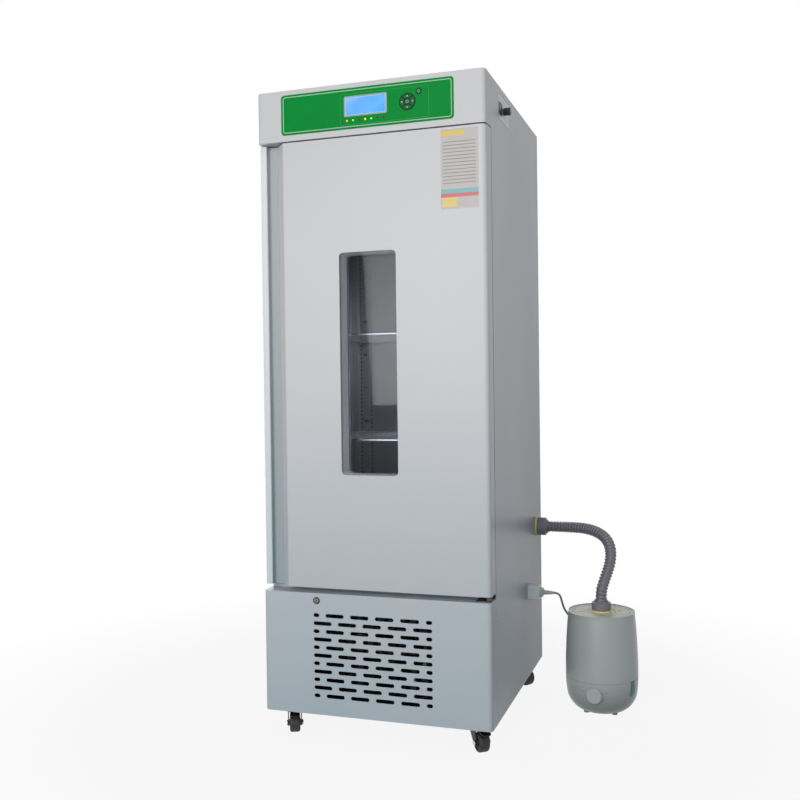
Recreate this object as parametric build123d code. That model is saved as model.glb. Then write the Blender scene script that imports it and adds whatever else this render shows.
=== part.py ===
from build123d import *
import os
from math import cos, sin, tan, radians

os.makedirs("parts", exist_ok=True)

# Humidity incubator: an insulated upright cabinet on four casters, with a right-hinged
# windowed door, a control header, a louvred machine base and a floor-standing humidifier
# that feeds the chamber through a hose.
# Millimetres. Origin: on the floor below the centre of the cabinet. +X to the right of
# somebody facing the door, +Y to the back, +Z up. "Depth" is measured back from the front.

# Cabinet
WIDTH = 620.0
DEPTH = 700.0
BODY_HEIGHT = 1638.0
CASTER_HEIGHT = 70.0
SHEET = 1.2
EDGE_RADIUS = 12.0
TOP_EDGE_RADIUS = 3.0
FACE_DEPTH = 58.0            # the cabinet's front face, behind the door and the base panel
BASE_HEIGHT = 319.2          # machine base, from its underside to the ledge below the door
HEADER_HEIGHT = 133.5
FLANGE_WIDTH = 25.0          # front flange round the chamber mouth
FLANGE_HEIGHT = 36.0

# Chamber
WALL = 60.0                  # side wall, skin to chamber
FLOOR_INSULATION = 70.8
CEILING_INSULATION = 54.5
BACK_INSULATION = 46.0
LINER = 1.0
LINER_FLANGE = 15.0
BREAKER = 4.0                # thickness of the plastic frame round the mouth

# Door
DOOR_GAP_TOP = 4.0
DOOR_GAP_BOTTOM = 14.8
DOOR_THICKNESS = 52.0
GRIP_STRIP = 18.0            # width of the strip the fingers hook behind
GRIP_SETBACK = 15.0
GRIP_DEPTH = 35.0
GRIP_FLOOR = 25.0
GRIP_SLOPE = 30.0
GRIP_WALL = 2.0
PLUG_RISE = 14.0             # raised back of the door that enters the chamber mouth
PLUG_MARGIN = 14.0
PLUG_FILLET = 6.0
WINDOW_WIDTH = 154.5
WINDOW_HEIGHT = 574.3
WINDOW_CENTRE_X = -4.8
WINDOW_CENTRE_Z = 987.7
WINDOW_RADIUS = 11.0
WINDOW_WALL = 3.0
GLASS = 4.0
GASKET_WIDTH = 22.0
GASKET_LIP = 12.0
SEAL_GAP = 0.3

# Hinges
HINGE_INSET = 10.0           # pin axis, in from the right side
HINGE_DEPTH = 20.0           # pin axis, back from the front
PIN_RADIUS = 5.0
PIN_COLLAR = 8.0
PIN_REACH = 19.0
BRACKET = 3.0
RUNNING = 0.05               # radial clearance of every pin and shaft
END_PLAY = 0.3               # axial clearance

# Machine base
SLOT_ROWS = 11
SLOT_PITCH_Z = 21.1
SLOT_TOP_Z = 331.5
SLOT_COLUMNS = 5
SLOT_PITCH_X = 68.4
SLOT_LENGTH = 50.6
SLOT_HEIGHT = 10.0
SLOT_CENTRE_X = -5.0
TRAY = 2.5
POST = 30.0
LOCK_X = -158.0
LOCK_Z = 370.0
LOCK_RADIUS = 9.5
BARREL_RADIUS = 6.0

# Casters
CASTER_INSET_X = 54.0
CASTER_INSET_Y = 68.0
WHEEL_RADIUS = 25.0
WHEEL_WIDTH = 28.0
TRAIL = 22.0
PLATE_SIZE = 60.0
AXLE_RADIUS = 4.0
CASTERS = {"front_left": 25.0, "front_right": 38.0, "rear_left": 20.0, "rear_right": 55.0}

# Control panel
PANEL_WIDTH = 469.0
PANEL_HEIGHT = 105.0
PANEL_CENTRE_X = -5.0
PANEL_CENTRE_Z = 1642.5
PANEL_FILM = 0.8
PANEL_RADIUS = 9.0
LCD_WIDTH = 110.0
LCD_HEIGHT = 45.5
LCD_X = -4.0
LCD_Z = 1647.8
LED_RADIUS = 2.5
LED_COUNT = 7
LED_PITCH = 16.6
LED_X = -4.5
LED_Z = 1611.6
PAD_X = 108.7
PAD_Z = 1643.9
PAD_RADIUS = 19.5
PAD_INNER = 9.0
OK_RADIUS = 7.4
ESC_X = 139.2
ESC_Z = 1667.1
ESC_RADIUS = 6.5
KEY_PROUD = 1.0
KEY_GAP = 0.3
BOARD_DEPTH = 4.0            # front face of the circuit board

# Side controls and socket
ROCKER_DEPTH = 166.0
ROCKER_DROP = 58.5           # centre of the rocker, below the top of the cabinet
ROCKER_WIDTH = 22.0
ROCKER_HEIGHT = 23.0
ROCKER_TILT = 8.0
LIMITER_DEPTH = 206.0
LIMITER_DROP = 56.0
LIMITER_RADIUS = 10.0
SOCKET_INSET = 207.5         # centre of the socket, in from the back
SOCKET_Z = 318.0
SOCKET_PROUD = 33.0
SOCKET_WIDTH = 45.0
SOCKET_HEIGHT = 40.7

# Humidifier and hose. It stands off the cabinet's right rear edge, which the hose and the
# cord are measured from as well.
TANK_OFFSET_X = 213.0
TANK_OFFSET_Y = -236.0
TANK_RADIUS = 101.6
TANK_TOP = 282.0
TANK_TOP_RADIUS = 93.5
TANK_SEAM = 98.0
TANK_WALL = 3.0
FOOT_HEIGHT = 6.0
KNOB_RADIUS = 21.5
KNOB_ANGLE = -95.0
KNOB_Z = 67.6
PORT_INSET = 73.3
PORT_Z = 492.6
PORT_RADIUS = 17.0
CUFF_RADIUS = 27.0
SEAL_RING = 4.0
HOSE_RADIUS = 16.5
CORD_RADIUS = 3.0

# Chamber fittings
SHELF_LEVELS = {"shelf_upper": 1068.5, "shelf_lower": 786.0}
SHELF_WIRE = 3.0
SHELF_BARS = 15
RAIL_WIDTH = 20.0
RAIL_FRONT_DEPTH = 130.0
RAIL_TO_DUCT = 50.0
DUCT_SPACE = 84.0            # between the duct panel and the chamber's back

# Derived levels and planes
BASE_Z = CASTER_HEIGHT
TOP_Z = CASTER_HEIGHT + BODY_HEIGHT
LEDGE_Z = BASE_Z + BASE_HEIGHT
DECK_Z = LEDGE_Z - SHEET
HEADER_Z = TOP_Z - HEADER_HEIGHT
ROCKER_Z = TOP_Z - ROCKER_DROP
LIMITER_Z = TOP_Z - LIMITER_DROP
INNER_X = WIDTH / 2 - SHEET
CHAMBER_X = WIDTH / 2 - WALL
CHAMBER_Z0 = LEDGE_Z + FLOOR_INSULATION
CHAMBER_Z1 = HEADER_Z - CEILING_INSULATION
CHAMBER_BACK = DEPTH - BACK_INSULATION
MOUTH_X = WIDTH / 2 - FLANGE_WIDTH
MOUTH_Z0 = LEDGE_Z + FLANGE_HEIGHT
MOUTH_Z1 = HEADER_Z - FLANGE_WIDTH
DOOR_Z0 = LEDGE_Z + DOOR_GAP_BOTTOM
DOOR_Z1 = HEADER_Z - DOOR_GAP_TOP
STRIP_X = -WIDTH / 2 + GRIP_STRIP
GROOVE_X = STRIP_X + GRIP_FLOOR
SLOPE_X = GROOVE_X + GRIP_SLOPE
HINGE_X = WIDTH / 2 - HINGE_INSET
TRAY_Z = BASE_Z + TRAY
CASTER_X = WIDTH / 2 - CASTER_INSET_X
SOCKET_DEPTH = DEPTH - SOCKET_INSET
PORT_DEPTH = DEPTH - PORT_INSET
DUCT_DEPTH = CHAMBER_BACK - DUCT_SPACE
RAIL_REAR_DEPTH = DUCT_DEPTH - RAIL_TO_DUCT
EDGE_X = WIDTH / 2
EDGE_Y = DEPTH / 2
TANK_X = EDGE_X + TANK_OFFSET_X
TANK_Y = EDGE_Y + TANK_OFFSET_Y


def fy(depth):
    """Row Y of a plane at this depth behind the front face."""
    return depth - DEPTH / 2


def block(x0, x1, d0, d1, z0, z1):
    """Box between two x, two depths and two heights."""
    centre = Pos((x0 + x1) / 2, fy((d0 + d1) / 2), (z0 + z1) / 2)
    return centre * Box(x1 - x0, d1 - d0, z1 - z0)


def rod(start, direction, radius, length):
    """Round bar from a point along a direction."""
    base = (Align.CENTER, Align.CENTER, Align.MIN)
    return Plane(origin=start, z_dir=direction) * Cylinder(radius, length, align=base)


def front_plane(x, z, depth=0.0):
    """Sketch plane facing the user: local x is right, local y is up."""
    return Plane(origin=(x, fy(depth), z), x_dir=(1, 0, 0), z_dir=(0, -1, 0))


def side_plane(depth, z, x=WIDTH / 2):
    """Sketch plane facing right: local x is back, local y is up."""
    return Plane(origin=(x, fy(depth), z), x_dir=(0, 1, 0), z_dir=(1, 0, 0))


def plate(plane, sketch, below, above):
    """Sketch on a plane, thickened below and above it."""
    return extrude(plane.offset(-below) * sketch, below + above)


def rounded(points):
    """Face through (x, y, radius) corners, each rounded by its own radius."""
    face = make_face(Polyline(*[(x, y) for x, y, r in points], close=True))
    for x, y, r in points:
        if r > 0:
            corner = face.vertices().sort_by_distance((x, y, 0))[0]
            face = fillet(corner, r)
    return face


def plan(points, z0, z1):
    """Prism from a plan outline given as (x, depth, radius)."""
    face = rounded([(x, fy(d), r) for x, d, r in points])
    return extrude(Pos(0, 0, z0) * face, z1 - z0)


def cabinet_plan(inset, back, z0, z1):
    """Cabinet outline with rounded front edges, inset from the skin, as far as a depth."""
    half = WIDTH / 2 - inset
    corner = EDGE_RADIUS - inset
    points = [(-half, back, 0), (-half, inset, corner), (half, inset, corner), (half, back, 0)]
    return plan(points, z0, z1)


def save(name, shape):
    export_step(shape, f"parts/{name}.step")


def group(solids):
    """Separate solids that share one node."""
    return Compound(children=list(solids))


# Cabinet sheet metal


def outer_shell():
    """Header box, top sheet, two side panels, their welded front strips, and two cross rails."""
    shell = cabinet_plan(0, DEPTH, BASE_Z, TOP_Z)
    shell = fillet(shell.edges().group_by(Axis.Z)[-1], TOP_EDGE_RADIUS)
    shell -= cabinet_plan(SHEET, DEPTH + 1, BASE_Z - 1, TOP_Z - SHEET)
    shell -= block(-WIDTH, WIDTH, -1, FACE_DEPTH, BASE_Z - 1, HEADER_Z)
    shell += cabinet_plan(0, FACE_DEPTH + SHEET, HEADER_Z, HEADER_Z + SHEET)
    for cutter in panel_cutters(0) + side_cutters():
        shell -= cutter
    seam = FACE_DEPTH + SHEET
    top = TOP_Z - TOP_EDGE_RADIUS
    panels = [
        shell & block(-WIDTH, WIDTH, -1, seam, HEADER_Z, TOP_Z),
        shell & block(-WIDTH, WIDTH, seam, DEPTH, top, TOP_Z),
    ]
    for side in (-1, 1):
        x0, x1 = sorted((0, side * WIDTH))
        wall = shell & block(x0, x1, seam, DEPTH, BASE_Z, top)
        wall += shell & block(x0, x1, FACE_DEPTH, seam, BASE_Z, HEADER_Z)
        f0, f1 = sorted((side * MOUTH_X, side * INNER_X))
        panels.append(wall)
        panels.append(block(f0, f1, FACE_DEPTH, seam, DECK_Z, HEADER_Z))
    panels.append(block(-MOUTH_X, MOUTH_X, FACE_DEPTH, seam, DECK_Z, MOUTH_Z0))
    panels.append(block(-MOUTH_X, MOUTH_X, FACE_DEPTH, seam, MOUTH_Z1, HEADER_Z))
    return group(panels)


def panel_cutters(gap):
    """Openings in the header's front for the display, lamps and keys."""
    reach = 5.0
    display = Rectangle(LCD_WIDTH, LCD_HEIGHT)
    cutters = [plate(front_plane(LCD_X, LCD_Z), display, reach, reach)]
    for x in led_places():
        cutters.append(plate(front_plane(x, LED_Z), Circle(LED_RADIUS), reach, reach))
    pad = Circle(PAD_RADIUS + KEY_GAP + gap)
    cutters.append(plate(front_plane(PAD_X, PAD_Z), pad, reach, reach))
    esc = Circle(ESC_RADIUS + KEY_GAP + gap)
    cutters.append(plate(front_plane(ESC_X, ESC_Z), esc, reach, reach))
    return cutters


WIRE_HOLE = 6.0
BUSH_RADIUS = 5.0


def side_cutters():
    """Openings in the right side for the switch, limiter, hose port and socket wires."""
    wall = 3.0
    switch = Rectangle(ROCKER_WIDTH + 4, ROCKER_HEIGHT + 5)
    return [
        plate(side_plane(ROCKER_DEPTH, ROCKER_Z), switch, wall, wall),
        plate(side_plane(LIMITER_DEPTH, LIMITER_Z), Circle(BUSH_RADIUS), wall, wall),
        plate(side_plane(PORT_DEPTH, PORT_Z), Circle(PORT_RADIUS), WALL, wall),
        plate(side_plane(SOCKET_DEPTH, SOCKET_Z), Circle(WIRE_HOLE), wall, wall),
    ]


VENT_ROWS = 9
VENT_PITCH = 22.0
VENT_LENGTH = 180.0
VENT_HEIGHT = 8.0
INLET_RADIUS = 11.0


def back_panel():
    panel = block(-INNER_X, INNER_X, DEPTH - SHEET, DEPTH, BASE_Z, TOP_Z - SHEET)
    for row in range(VENT_ROWS):
        z = BASE_Z + 60 + row * VENT_PITCH
        slot = SlotOverall(VENT_LENGTH, VENT_HEIGHT)
        panel -= plate(front_plane(0, z, DEPTH), slot, SHEET, SHEET)
    cable_hole = Circle(INLET_RADIUS)
    return panel - plate(front_plane(-INNER_X + 60, BASE_Z + 60, DEPTH), cable_hole, SHEET, SHEET)


def cabinet_foam():
    front = FACE_DEPTH + BREAKER + LINER
    foam = block(-INNER_X, INNER_X, front, DEPTH - SHEET, DECK_Z, HEADER_Z)
    side = CHAMBER_X + LINER
    foam -= block(-side, side, 0, CHAMBER_BACK + LINER, CHAMBER_Z0 - LINER, CHAMBER_Z1 + LINER)
    return foam - side_cutters()[2]


def inner_liner():
    front = FACE_DEPTH + BREAKER
    side = CHAMBER_X + LINER
    liner = block(-side, side, front, CHAMBER_BACK + LINER, CHAMBER_Z0 - LINER, CHAMBER_Z1 + LINER)
    wide = CHAMBER_X + LINER_FLANGE
    low = CHAMBER_Z0 - LINER_FLANGE
    high = CHAMBER_Z1 + LINER_FLANGE
    liner += block(-wide, wide, front, front + LINER, low, high)
    liner -= block(-CHAMBER_X, CHAMBER_X, 0, CHAMBER_BACK, CHAMBER_Z0, CHAMBER_Z1)
    return liner - side_cutters()[2]


def breaker_frame():
    back = FACE_DEPTH + BREAKER
    frame = block(-MOUTH_X, MOUTH_X, FACE_DEPTH, back, MOUTH_Z0, MOUTH_Z1)
    return frame - block(-CHAMBER_X, CHAMBER_X, 0, DEPTH, CHAMBER_Z0, CHAMBER_Z1)


# Machine base

DECK_FRONT = 20.0
DECK_LIP = 8.0
TRAY_FRONT = 14.0
TRAY_RIM = 25.0
PANEL_GAP = 1.0


def base_chassis():
    chassis = block(-INNER_X, INNER_X, TRAY_FRONT, DEPTH - SHEET, BASE_Z, TRAY_Z)
    for side in (-1, 1):
        x0, x1 = sorted((side * INNER_X, side * (INNER_X - SHEET)))
        chassis += block(x0, x1, FACE_DEPTH, DEPTH - SHEET, TRAY_Z, TRAY_Z + TRAY_RIM)
        for near, far in ((FACE_DEPTH, FACE_DEPTH + POST), (DEPTH - SHEET, DEPTH - SHEET - POST)):
            d0, d1 = sorted((near, far))
            chassis += block(x0, x1, d0, d1, TRAY_Z, DECK_Z - SHEET)
            e0, e1 = sorted((near, near + (SHEET if far > near else -SHEET)))
            f0, f1 = sorted((side * INNER_X, side * (INNER_X - POST)))
            chassis += block(f0, f1, e0, e1, TRAY_Z, DECK_Z - SHEET)
    chassis += block(-INNER_X, INNER_X, DECK_FRONT, DEPTH - SHEET, DECK_Z - SHEET, DECK_Z)
    lip = block(-INNER_X, INNER_X, DECK_FRONT, DECK_FRONT + SHEET, DECK_Z - DECK_LIP, DECK_Z)
    return chassis + lip


def base_front_panel():
    back = FACE_DEPTH - PANEL_GAP
    panel = cabinet_plan(0, back, BASE_Z, LEDGE_Z)
    panel -= cabinet_plan(SHEET, DEPTH, BASE_Z - 1, DECK_Z)
    wide = SlotOverall(SLOT_LENGTH, SLOT_HEIGHT)
    end_length = (SLOT_LENGTH - (SLOT_PITCH_X - SLOT_LENGTH)) / 2
    short = SlotOverall(end_length, SLOT_HEIGHT)
    reach = (SLOT_COLUMNS - 1) * SLOT_PITCH_X / 2
    for row in range(SLOT_ROWS):
        z = SLOT_TOP_Z - row * SLOT_PITCH_Z
        if row % 2:
            places = [(i * SLOT_PITCH_X - reach, wide) for i in range(SLOT_COLUMNS)]
        else:
            inner = [((i + 0.5) * SLOT_PITCH_X - reach, wide) for i in range(SLOT_COLUMNS - 1)]
            end = reach + (SLOT_LENGTH - end_length) / 2
            places = [(-end, short)] + inner + [(end, short)]
        cutters = [plate(front_plane(SLOT_CENTRE_X + x, z), s, EDGE_RADIUS, 1) for x, s in places]
        panel -= cutters
    return panel - plate(front_plane(LOCK_X, LOCK_Z), Circle(LOCK_BODY), EDGE_RADIUS, 1)


LOCK_BODY = 8.0
LOCK_FLANGE = 2.0
LOCK_LENGTH = 24.0
CAM = 3.0
CAM_WIDTH = 10.0
CAM_REACH = 14.0


def lock_housing():
    housing = plate(front_plane(LOCK_X, LOCK_Z), Circle(LOCK_RADIUS), 0, LOCK_FLANGE)
    housing = chamfer(housing.edges().group_by(Axis.Y)[0], 0.8)
    housing += plate(front_plane(LOCK_X, LOCK_Z), Circle(LOCK_BODY), LOCK_LENGTH, 0)
    return housing - plate(front_plane(LOCK_X, LOCK_Z), Circle(BARREL_RADIUS + RUNNING), DEPTH, DEPTH)


def lock_barrel():
    back = LOCK_LENGTH + END_PLAY
    barrel = plate(front_plane(LOCK_X, LOCK_Z), Circle(BARREL_RADIUS), back, LOCK_FLANGE)
    keyway = Rectangle(1.6, 2 * BARREL_RADIUS - 3)
    barrel -= plate(front_plane(LOCK_X, LOCK_Z, -LOCK_FLANGE), keyway, 6, 1)
    cam = Circle(CAM_WIDTH / 2) + Pos(0, CAM_REACH / 2) * Rectangle(CAM_WIDTH, CAM_REACH)
    return barrel + plate(front_plane(LOCK_X, LOCK_Z, back), cam, CAM, 0)


# Refrigeration machine

POT_X = -120.0
POT_DEPTH = DEPTH - 230
POT_RADIUS = 72.0
POT_HEIGHT = 165.0
GROMMET = 10.0
COIL_X = 150.0
COIL_DEPTH = 75.0
COIL_THICKNESS = 40.0
COIL_HEIGHT = 240.0
COIL_FINS = 11
FIN = 1.0
COIL_TUBE = 5.0
COIL_ROWS = 4
FAN_RADIUS = 88.0
FAN_THICKNESS = 22.0
FAN_BLADES = 5
HUB_RADIUS = 22.0
SHAFT_RADIUS = 4.0
MOTOR_RADIUS = 32.0
MOTOR_LENGTH = 45.0
FAN_GAP = 5.0


def compressor():
    """Hermetic pot on a sheet foot with four rubber grommets."""
    foot = block(POT_X - 95, POT_X + 95, POT_DEPTH - 60, POT_DEPTH + 60,
                 TRAY_Z + GROMMET, TRAY_Z + GROMMET + 3)
    for sx in (-1, 1):
        for sd in (-1, 1):
            place = (POT_X + sx * 82, fy(POT_DEPTH + sd * 48), TRAY_Z)
            foot += rod(place, (0, 0, 1), 10, GROMMET)
    low = TRAY_Z + GROMMET + 3
    dome = 35.0
    straight = low + POT_HEIGHT - dome
    side = Polyline((0, straight + dome), (0, low), (POT_RADIUS, low), (POT_RADIUS, straight))
    cap = Spline((POT_RADIUS, straight), (0, straight + dome), tangents=((0, 1), (-1, 0)))
    pot = revolve(Plane.XZ * make_face([side, cap]), Axis.Z)
    terminal = Pos(POT_RADIUS, 0, low + 70) * Box(30, 50, 60)
    pot += terminal
    return foot + Pos(POT_X, fy(POT_DEPTH), 0) * pot


def finned_coil(length, depth, thickness, z0, height, fins, rows):
    """Fin pack on straight tubes, with thicker end plates."""
    coil = []
    for i in range(fins):
        x = -length + 2 * length * i / (fins - 1)
        half = FIN if i in (0, fins - 1) else FIN / 2
        coil.append(block(x - half, x + half, depth, depth + thickness, z0, z0 + height))
    body = coil[0]
    for fin in coil[1:]:
        body += fin
    for row in range(rows):
        z = z0 + height * (row + 0.5) / rows
        start = (-length - FIN - 6, fy(depth + thickness / 2), z)
        body += rod(start, (1, 0, 0), COIL_TUBE, 2 * (length + FIN + 6))
    return body


def condenser():
    return finned_coil(COIL_X, COIL_DEPTH, COIL_THICKNESS, TRAY_Z, COIL_HEIGHT,
                       COIL_FINS, COIL_ROWS)


def fan_motor(depth, z, front):
    """Motor can whose shaft bore faces the fan, from `front` back."""
    can = plate(front_plane(0, z, front), Circle(MOTOR_RADIUS), depth, 0)
    can = fillet(can.edges().group_by(Axis.Y)[0], 4)
    bore = Circle(SHAFT_RADIUS + RUNNING)
    return can - plate(front_plane(0, z, front), bore, MOTOR_LENGTH - 15, 1)


def fan_rotor(z, front):
    """Hub, pitched blades and the shaft that enters the motor behind them."""
    hub = plate(front_plane(0, z, front), Circle(HUB_RADIUS), FAN_THICKNESS, 0)
    rotor = fillet(hub.edges().group_by(Axis.Y)[0], 5)
    middle = front + FAN_THICKNESS / 2
    span = FAN_RADIUS - HUB_RADIUS + 4
    for i in range(FAN_BLADES):
        blade = Pos(HUB_RADIUS - 4 + span / 2, 0, 0) * Rot(32, 0, 0) * Box(span, 34, 1.6)
        turn = Plane(origin=(0, fy(middle), z), x_dir=(1, 0, 0), z_dir=(0, -1, 0))
        rotor += turn * Rot(0, 0, 360 * i / FAN_BLADES) * blade
    reach = FAN_THICKNESS + FAN_GAP + MOTOR_LENGTH - 20
    return rotor + plate(front_plane(0, z, front), Circle(SHAFT_RADIUS), reach, 0)


COND_FAN_Z = TRAY_Z + COIL_HEIGHT / 2
COND_FAN_DEPTH = COIL_DEPTH + COIL_THICKNESS + 8
AIR_FAN_Z = 1380.0
AIR_FAN_DEPTH = DUCT_DEPTH + 12


def fan_shroud():
    """Sheet shroud behind the condenser, with the fan motor on three arms."""
    d0 = COIL_DEPTH + COIL_THICKNESS
    motor_front = COND_FAN_DEPTH + FAN_THICKNESS + FAN_GAP
    d1 = motor_front + 4
    shroud = block(-COIL_X, COIL_X, d0, d1, TRAY_Z, TRAY_Z + COIL_HEIGHT)
    shroud -= block(-COIL_X + 2, COIL_X - 2, d0 - 1, d1 - 2, TRAY_Z + 2, TRAY_Z + COIL_HEIGHT - 2)
    shroud -= plate(front_plane(0, COND_FAN_Z, d1), Circle(FAN_RADIUS + 6), 10, 30)
    for angle in (90, 210, 330):
        arm = Pos(cos(radians(angle)) * 62, sin(radians(angle)) * 62) * Rot(0, 0, angle)
        bar = arm * Rectangle(80, 10)
        shroud += plate(front_plane(0, COND_FAN_Z, d1), bar, 0, 2)
    return shroud + fan_motor(MOTOR_LENGTH, COND_FAN_Z, motor_front)


def condenser_fan():
    return fan_rotor(COND_FAN_Z, COND_FAN_DEPTH)


def circulation_fan():
    return fan_rotor(AIR_FAN_Z, AIR_FAN_DEPTH)


EVAPORATOR_X = CHAMBER_X - 100
EVAPORATOR_THICKNESS = 50.0
EVAPORATOR_RISE = 300.0
EVAPORATOR_HEIGHT = 300.0
HEATER_X = CHAMBER_X - 130
HEATER_REACH = 35.0
HEATER_RISE = 200.0
HEATER_RADIUS = 5.0


def air_handler():
    """Behind the duct panel: cooling coil, heater rod and circulation motor."""
    coil = finned_coil(EVAPORATOR_X, CHAMBER_BACK - EVAPORATOR_THICKNESS, EVAPORATOR_THICKNESS,
                       CHAMBER_Z0 + EVAPORATOR_RISE, EVAPORATOR_HEIGHT, 9, 3)
    x = HEATER_X
    out = fy(CHAMBER_BACK - HEATER_REACH)
    back = fy(CHAMBER_BACK)
    z = CHAMBER_Z0 + HEATER_RISE
    path = FilletPolyline((-x, back, z), (-x, out, z), (x, out, z), (x, back, z), radius=15)
    heater = sweep(Plane(origin=path @ 0, z_dir=path % 0) * Circle(HEATER_RADIUS), path=path)
    front = AIR_FAN_DEPTH + FAN_THICKNESS + FAN_GAP
    motor = fan_motor(CHAMBER_BACK - front, AIR_FAN_Z, front)
    return group([coil, heater, motor])


# Chamber fittings

DUCT_SHEET = 1.2
DUCT_SLOTS = 8
DUCT_SLOT_INSET = 35.0


def duct_panel():
    panel = block(-CHAMBER_X, CHAMBER_X, DUCT_DEPTH, DUCT_DEPTH + DUCT_SHEET,
                  CHAMBER_Z0 + 25, CHAMBER_Z1 - 20)
    spokes = [Rot(0, 0, 45 * i) * Pos(48, 0) * SlotOverall(52, 12) for i in range(8)]
    panel -= [plate(front_plane(0, AIR_FAN_Z, DUCT_DEPTH), s, 5, 5) for s in spokes]
    for side in (-1, 1):
        for i in range(DUCT_SLOTS):
            z = CHAMBER_Z0 + 150 + 105 * i
            slot = SlotOverall(30, 8)
            x = side * (CHAMBER_X - DUCT_SLOT_INSET)
            panel -= plate(front_plane(x, z, DUCT_DEPTH), slot, 5, 5)
    return panel


RAIL = 4.0
RAIL_SLOTS = 12
CLIP = 10.0


def shelf_rails():
    """Four slotted rails on the side walls, with the clips that carry both shelves."""
    solids = []
    for side in (-1, 1):
        for depth in (RAIL_FRONT_DEPTH, RAIL_REAR_DEPTH):
            x0, x1 = sorted((side * CHAMBER_X, side * (CHAMBER_X - RAIL)))
            half = RAIL_WIDTH / 2
            rail = block(x0, x1, depth - half, depth + half, CHAMBER_Z0, CHAMBER_Z1)
            for i in range(RAIL_SLOTS):
                z = CHAMBER_Z0 + 60 + 85 * i
                slot = Rectangle(4, 14)
                rail -= plate(side_plane(depth, z, side * CHAMBER_X), slot, RAIL + 1, RAIL + 1)
            solids.append(rail)
            for level in SHELF_LEVELS.values():
                seat = level - SHELF_WIRE
                c0, c1 = sorted((side * (CHAMBER_X - RAIL), side * (CHAMBER_X - RAIL - CLIP)))
                solids.append(block(c0, c1, depth - 6, depth + 6, seat - 8, seat))
    return group(solids)


def wire_shelf(level):
    """Welded wire shelf: a round frame with bars from front to back."""
    side = CHAMBER_X - RAIL - CLIP / 2
    d0 = RAIL_FRONT_DEPTH - 30
    d1 = RAIL_REAR_DEPTH + 30
    shelf = None
    for d in (d0, d1):
        bar = rod((-side, fy(d), level), (1, 0, 0), SHELF_WIRE, 2 * side)
        shelf = bar if shelf is None else shelf + bar
    for x in (-side, side):
        shelf += rod((x, fy(d0), level), (0, 1, 0), SHELF_WIRE, d1 - d0)
        for d in (d0, d1):
            shelf += Pos(x, fy(d), level) * Sphere(SHELF_WIRE)
    for i in range(1, SHELF_BARS):
        x = -side + 2 * side * i / SHELF_BARS
        shelf += rod((x, fy(d0), level), (0, 1, 0), SHELF_WIRE / 2, d1 - d0)
    return shelf


# Door


def door_main(inset, z0, z1, back):
    """Door body outline, without the grip: front, right side and the slope of the grip."""
    points = [
        (GROOVE_X, back, 0),
        (GROOVE_X, GRIP_DEPTH, 4.0),
        (SLOPE_X, 0, 6.0),
        (WIDTH / 2, 0, EDGE_RADIUS),
        (WIDTH / 2, back, 0),
    ]
    face = rounded([(x, fy(d), r) for x, d, r in points])
    if inset > 0:
        face = offset(face, amount=-inset)
    return extrude(Pos(0, 0, z0) * face, z1 - z0)


def grip_outline(z0, z1):
    """The strip and the floor of the finger groove."""
    points = [
        (-WIDTH / 2, DOOR_THICKNESS, 0),
        (-WIDTH / 2, GRIP_SETBACK, 4.0),
        (STRIP_X, GRIP_SETBACK, 4.0),
        (STRIP_X, GRIP_DEPTH, 4.0),
        (GROOVE_X, GRIP_DEPTH, 0),
        (GROOVE_X, DOOR_THICKNESS, 0),
    ]
    return plan(points, z0, z1)


def window_prism(grow, d0, d1):
    """Rounded window outline, grown by a margin, between two depths."""
    sketch = RectangleRounded(WINDOW_WIDTH + 2 * grow, WINDOW_HEIGHT + 2 * grow,
                              WINDOW_RADIUS + grow)
    return plate(front_plane(WINDOW_CENTRE_X, WINDOW_CENTRE_Z, d0), sketch, d1 - d0, 0)


def hinge_holes(radius, reach):
    """Cylinders on the hinge axis, up and down from the two ends of the door."""
    low = rod((HINGE_X, fy(HINGE_DEPTH), DOOR_Z0 - 1), (0, 0, 1), radius, reach + 1)
    high = rod((HINGE_X, fy(HINGE_DEPTH), DOOR_Z1 + 1), (0, 0, -1), radius, reach + 1)
    return [low, high]


BUSH_OUTER = 8.0
BUSH_REACH = 22.0


def door_outer_skin():
    skin = door_main(0, DOOR_Z0, DOOR_Z1, DOOR_THICKNESS)
    inside = door_main(SHEET, DOOR_Z0 + SHEET, DOOR_Z1 - SHEET, DOOR_THICKNESS)
    inside += block(GROOVE_X + SHEET, WIDTH / 2 - SHEET, GRIP_DEPTH + 4, DOOR_THICKNESS + 1,
                    DOOR_Z0 + SHEET, DOOR_Z1 - SHEET)
    skin -= inside
    skin += grip_outline(DOOR_Z0, DOOR_Z0 + SHEET)
    skin += grip_outline(DOOR_Z1 - SHEET, DOOR_Z1)
    for z, up in ((DOOR_Z0, 1), (DOOR_Z1, -1)):
        skin += rod((HINGE_X, fy(HINGE_DEPTH), z), (0, 0, up), BUSH_OUTER, BUSH_REACH)
    skin -= hinge_holes(PIN_RADIUS + RUNNING, BUSH_REACH - 2)
    return skin - window_prism(0, -1, SHEET + 1)


def grip_profile():
    """Hollow extrusion along the free edge of the door."""
    z0 = DOOR_Z0 + SHEET
    z1 = DOOR_Z1 - SHEET
    grip = grip_outline(z0, z1)
    grip -= block(-WIDTH / 2 + GRIP_WALL, STRIP_X - GRIP_WALL, GRIP_SETBACK + GRIP_WALL + 3,
                  DOOR_THICKNESS - GRIP_WALL, z0 - 1, z1 + 1)
    grip -= block(STRIP_X + GRIP_WALL, GROOVE_X - GRIP_WALL, GRIP_DEPTH + GRIP_WALL,
                  DOOR_THICKNESS - GRIP_WALL, z0 - 1, z1 + 1)
    return grip


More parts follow.
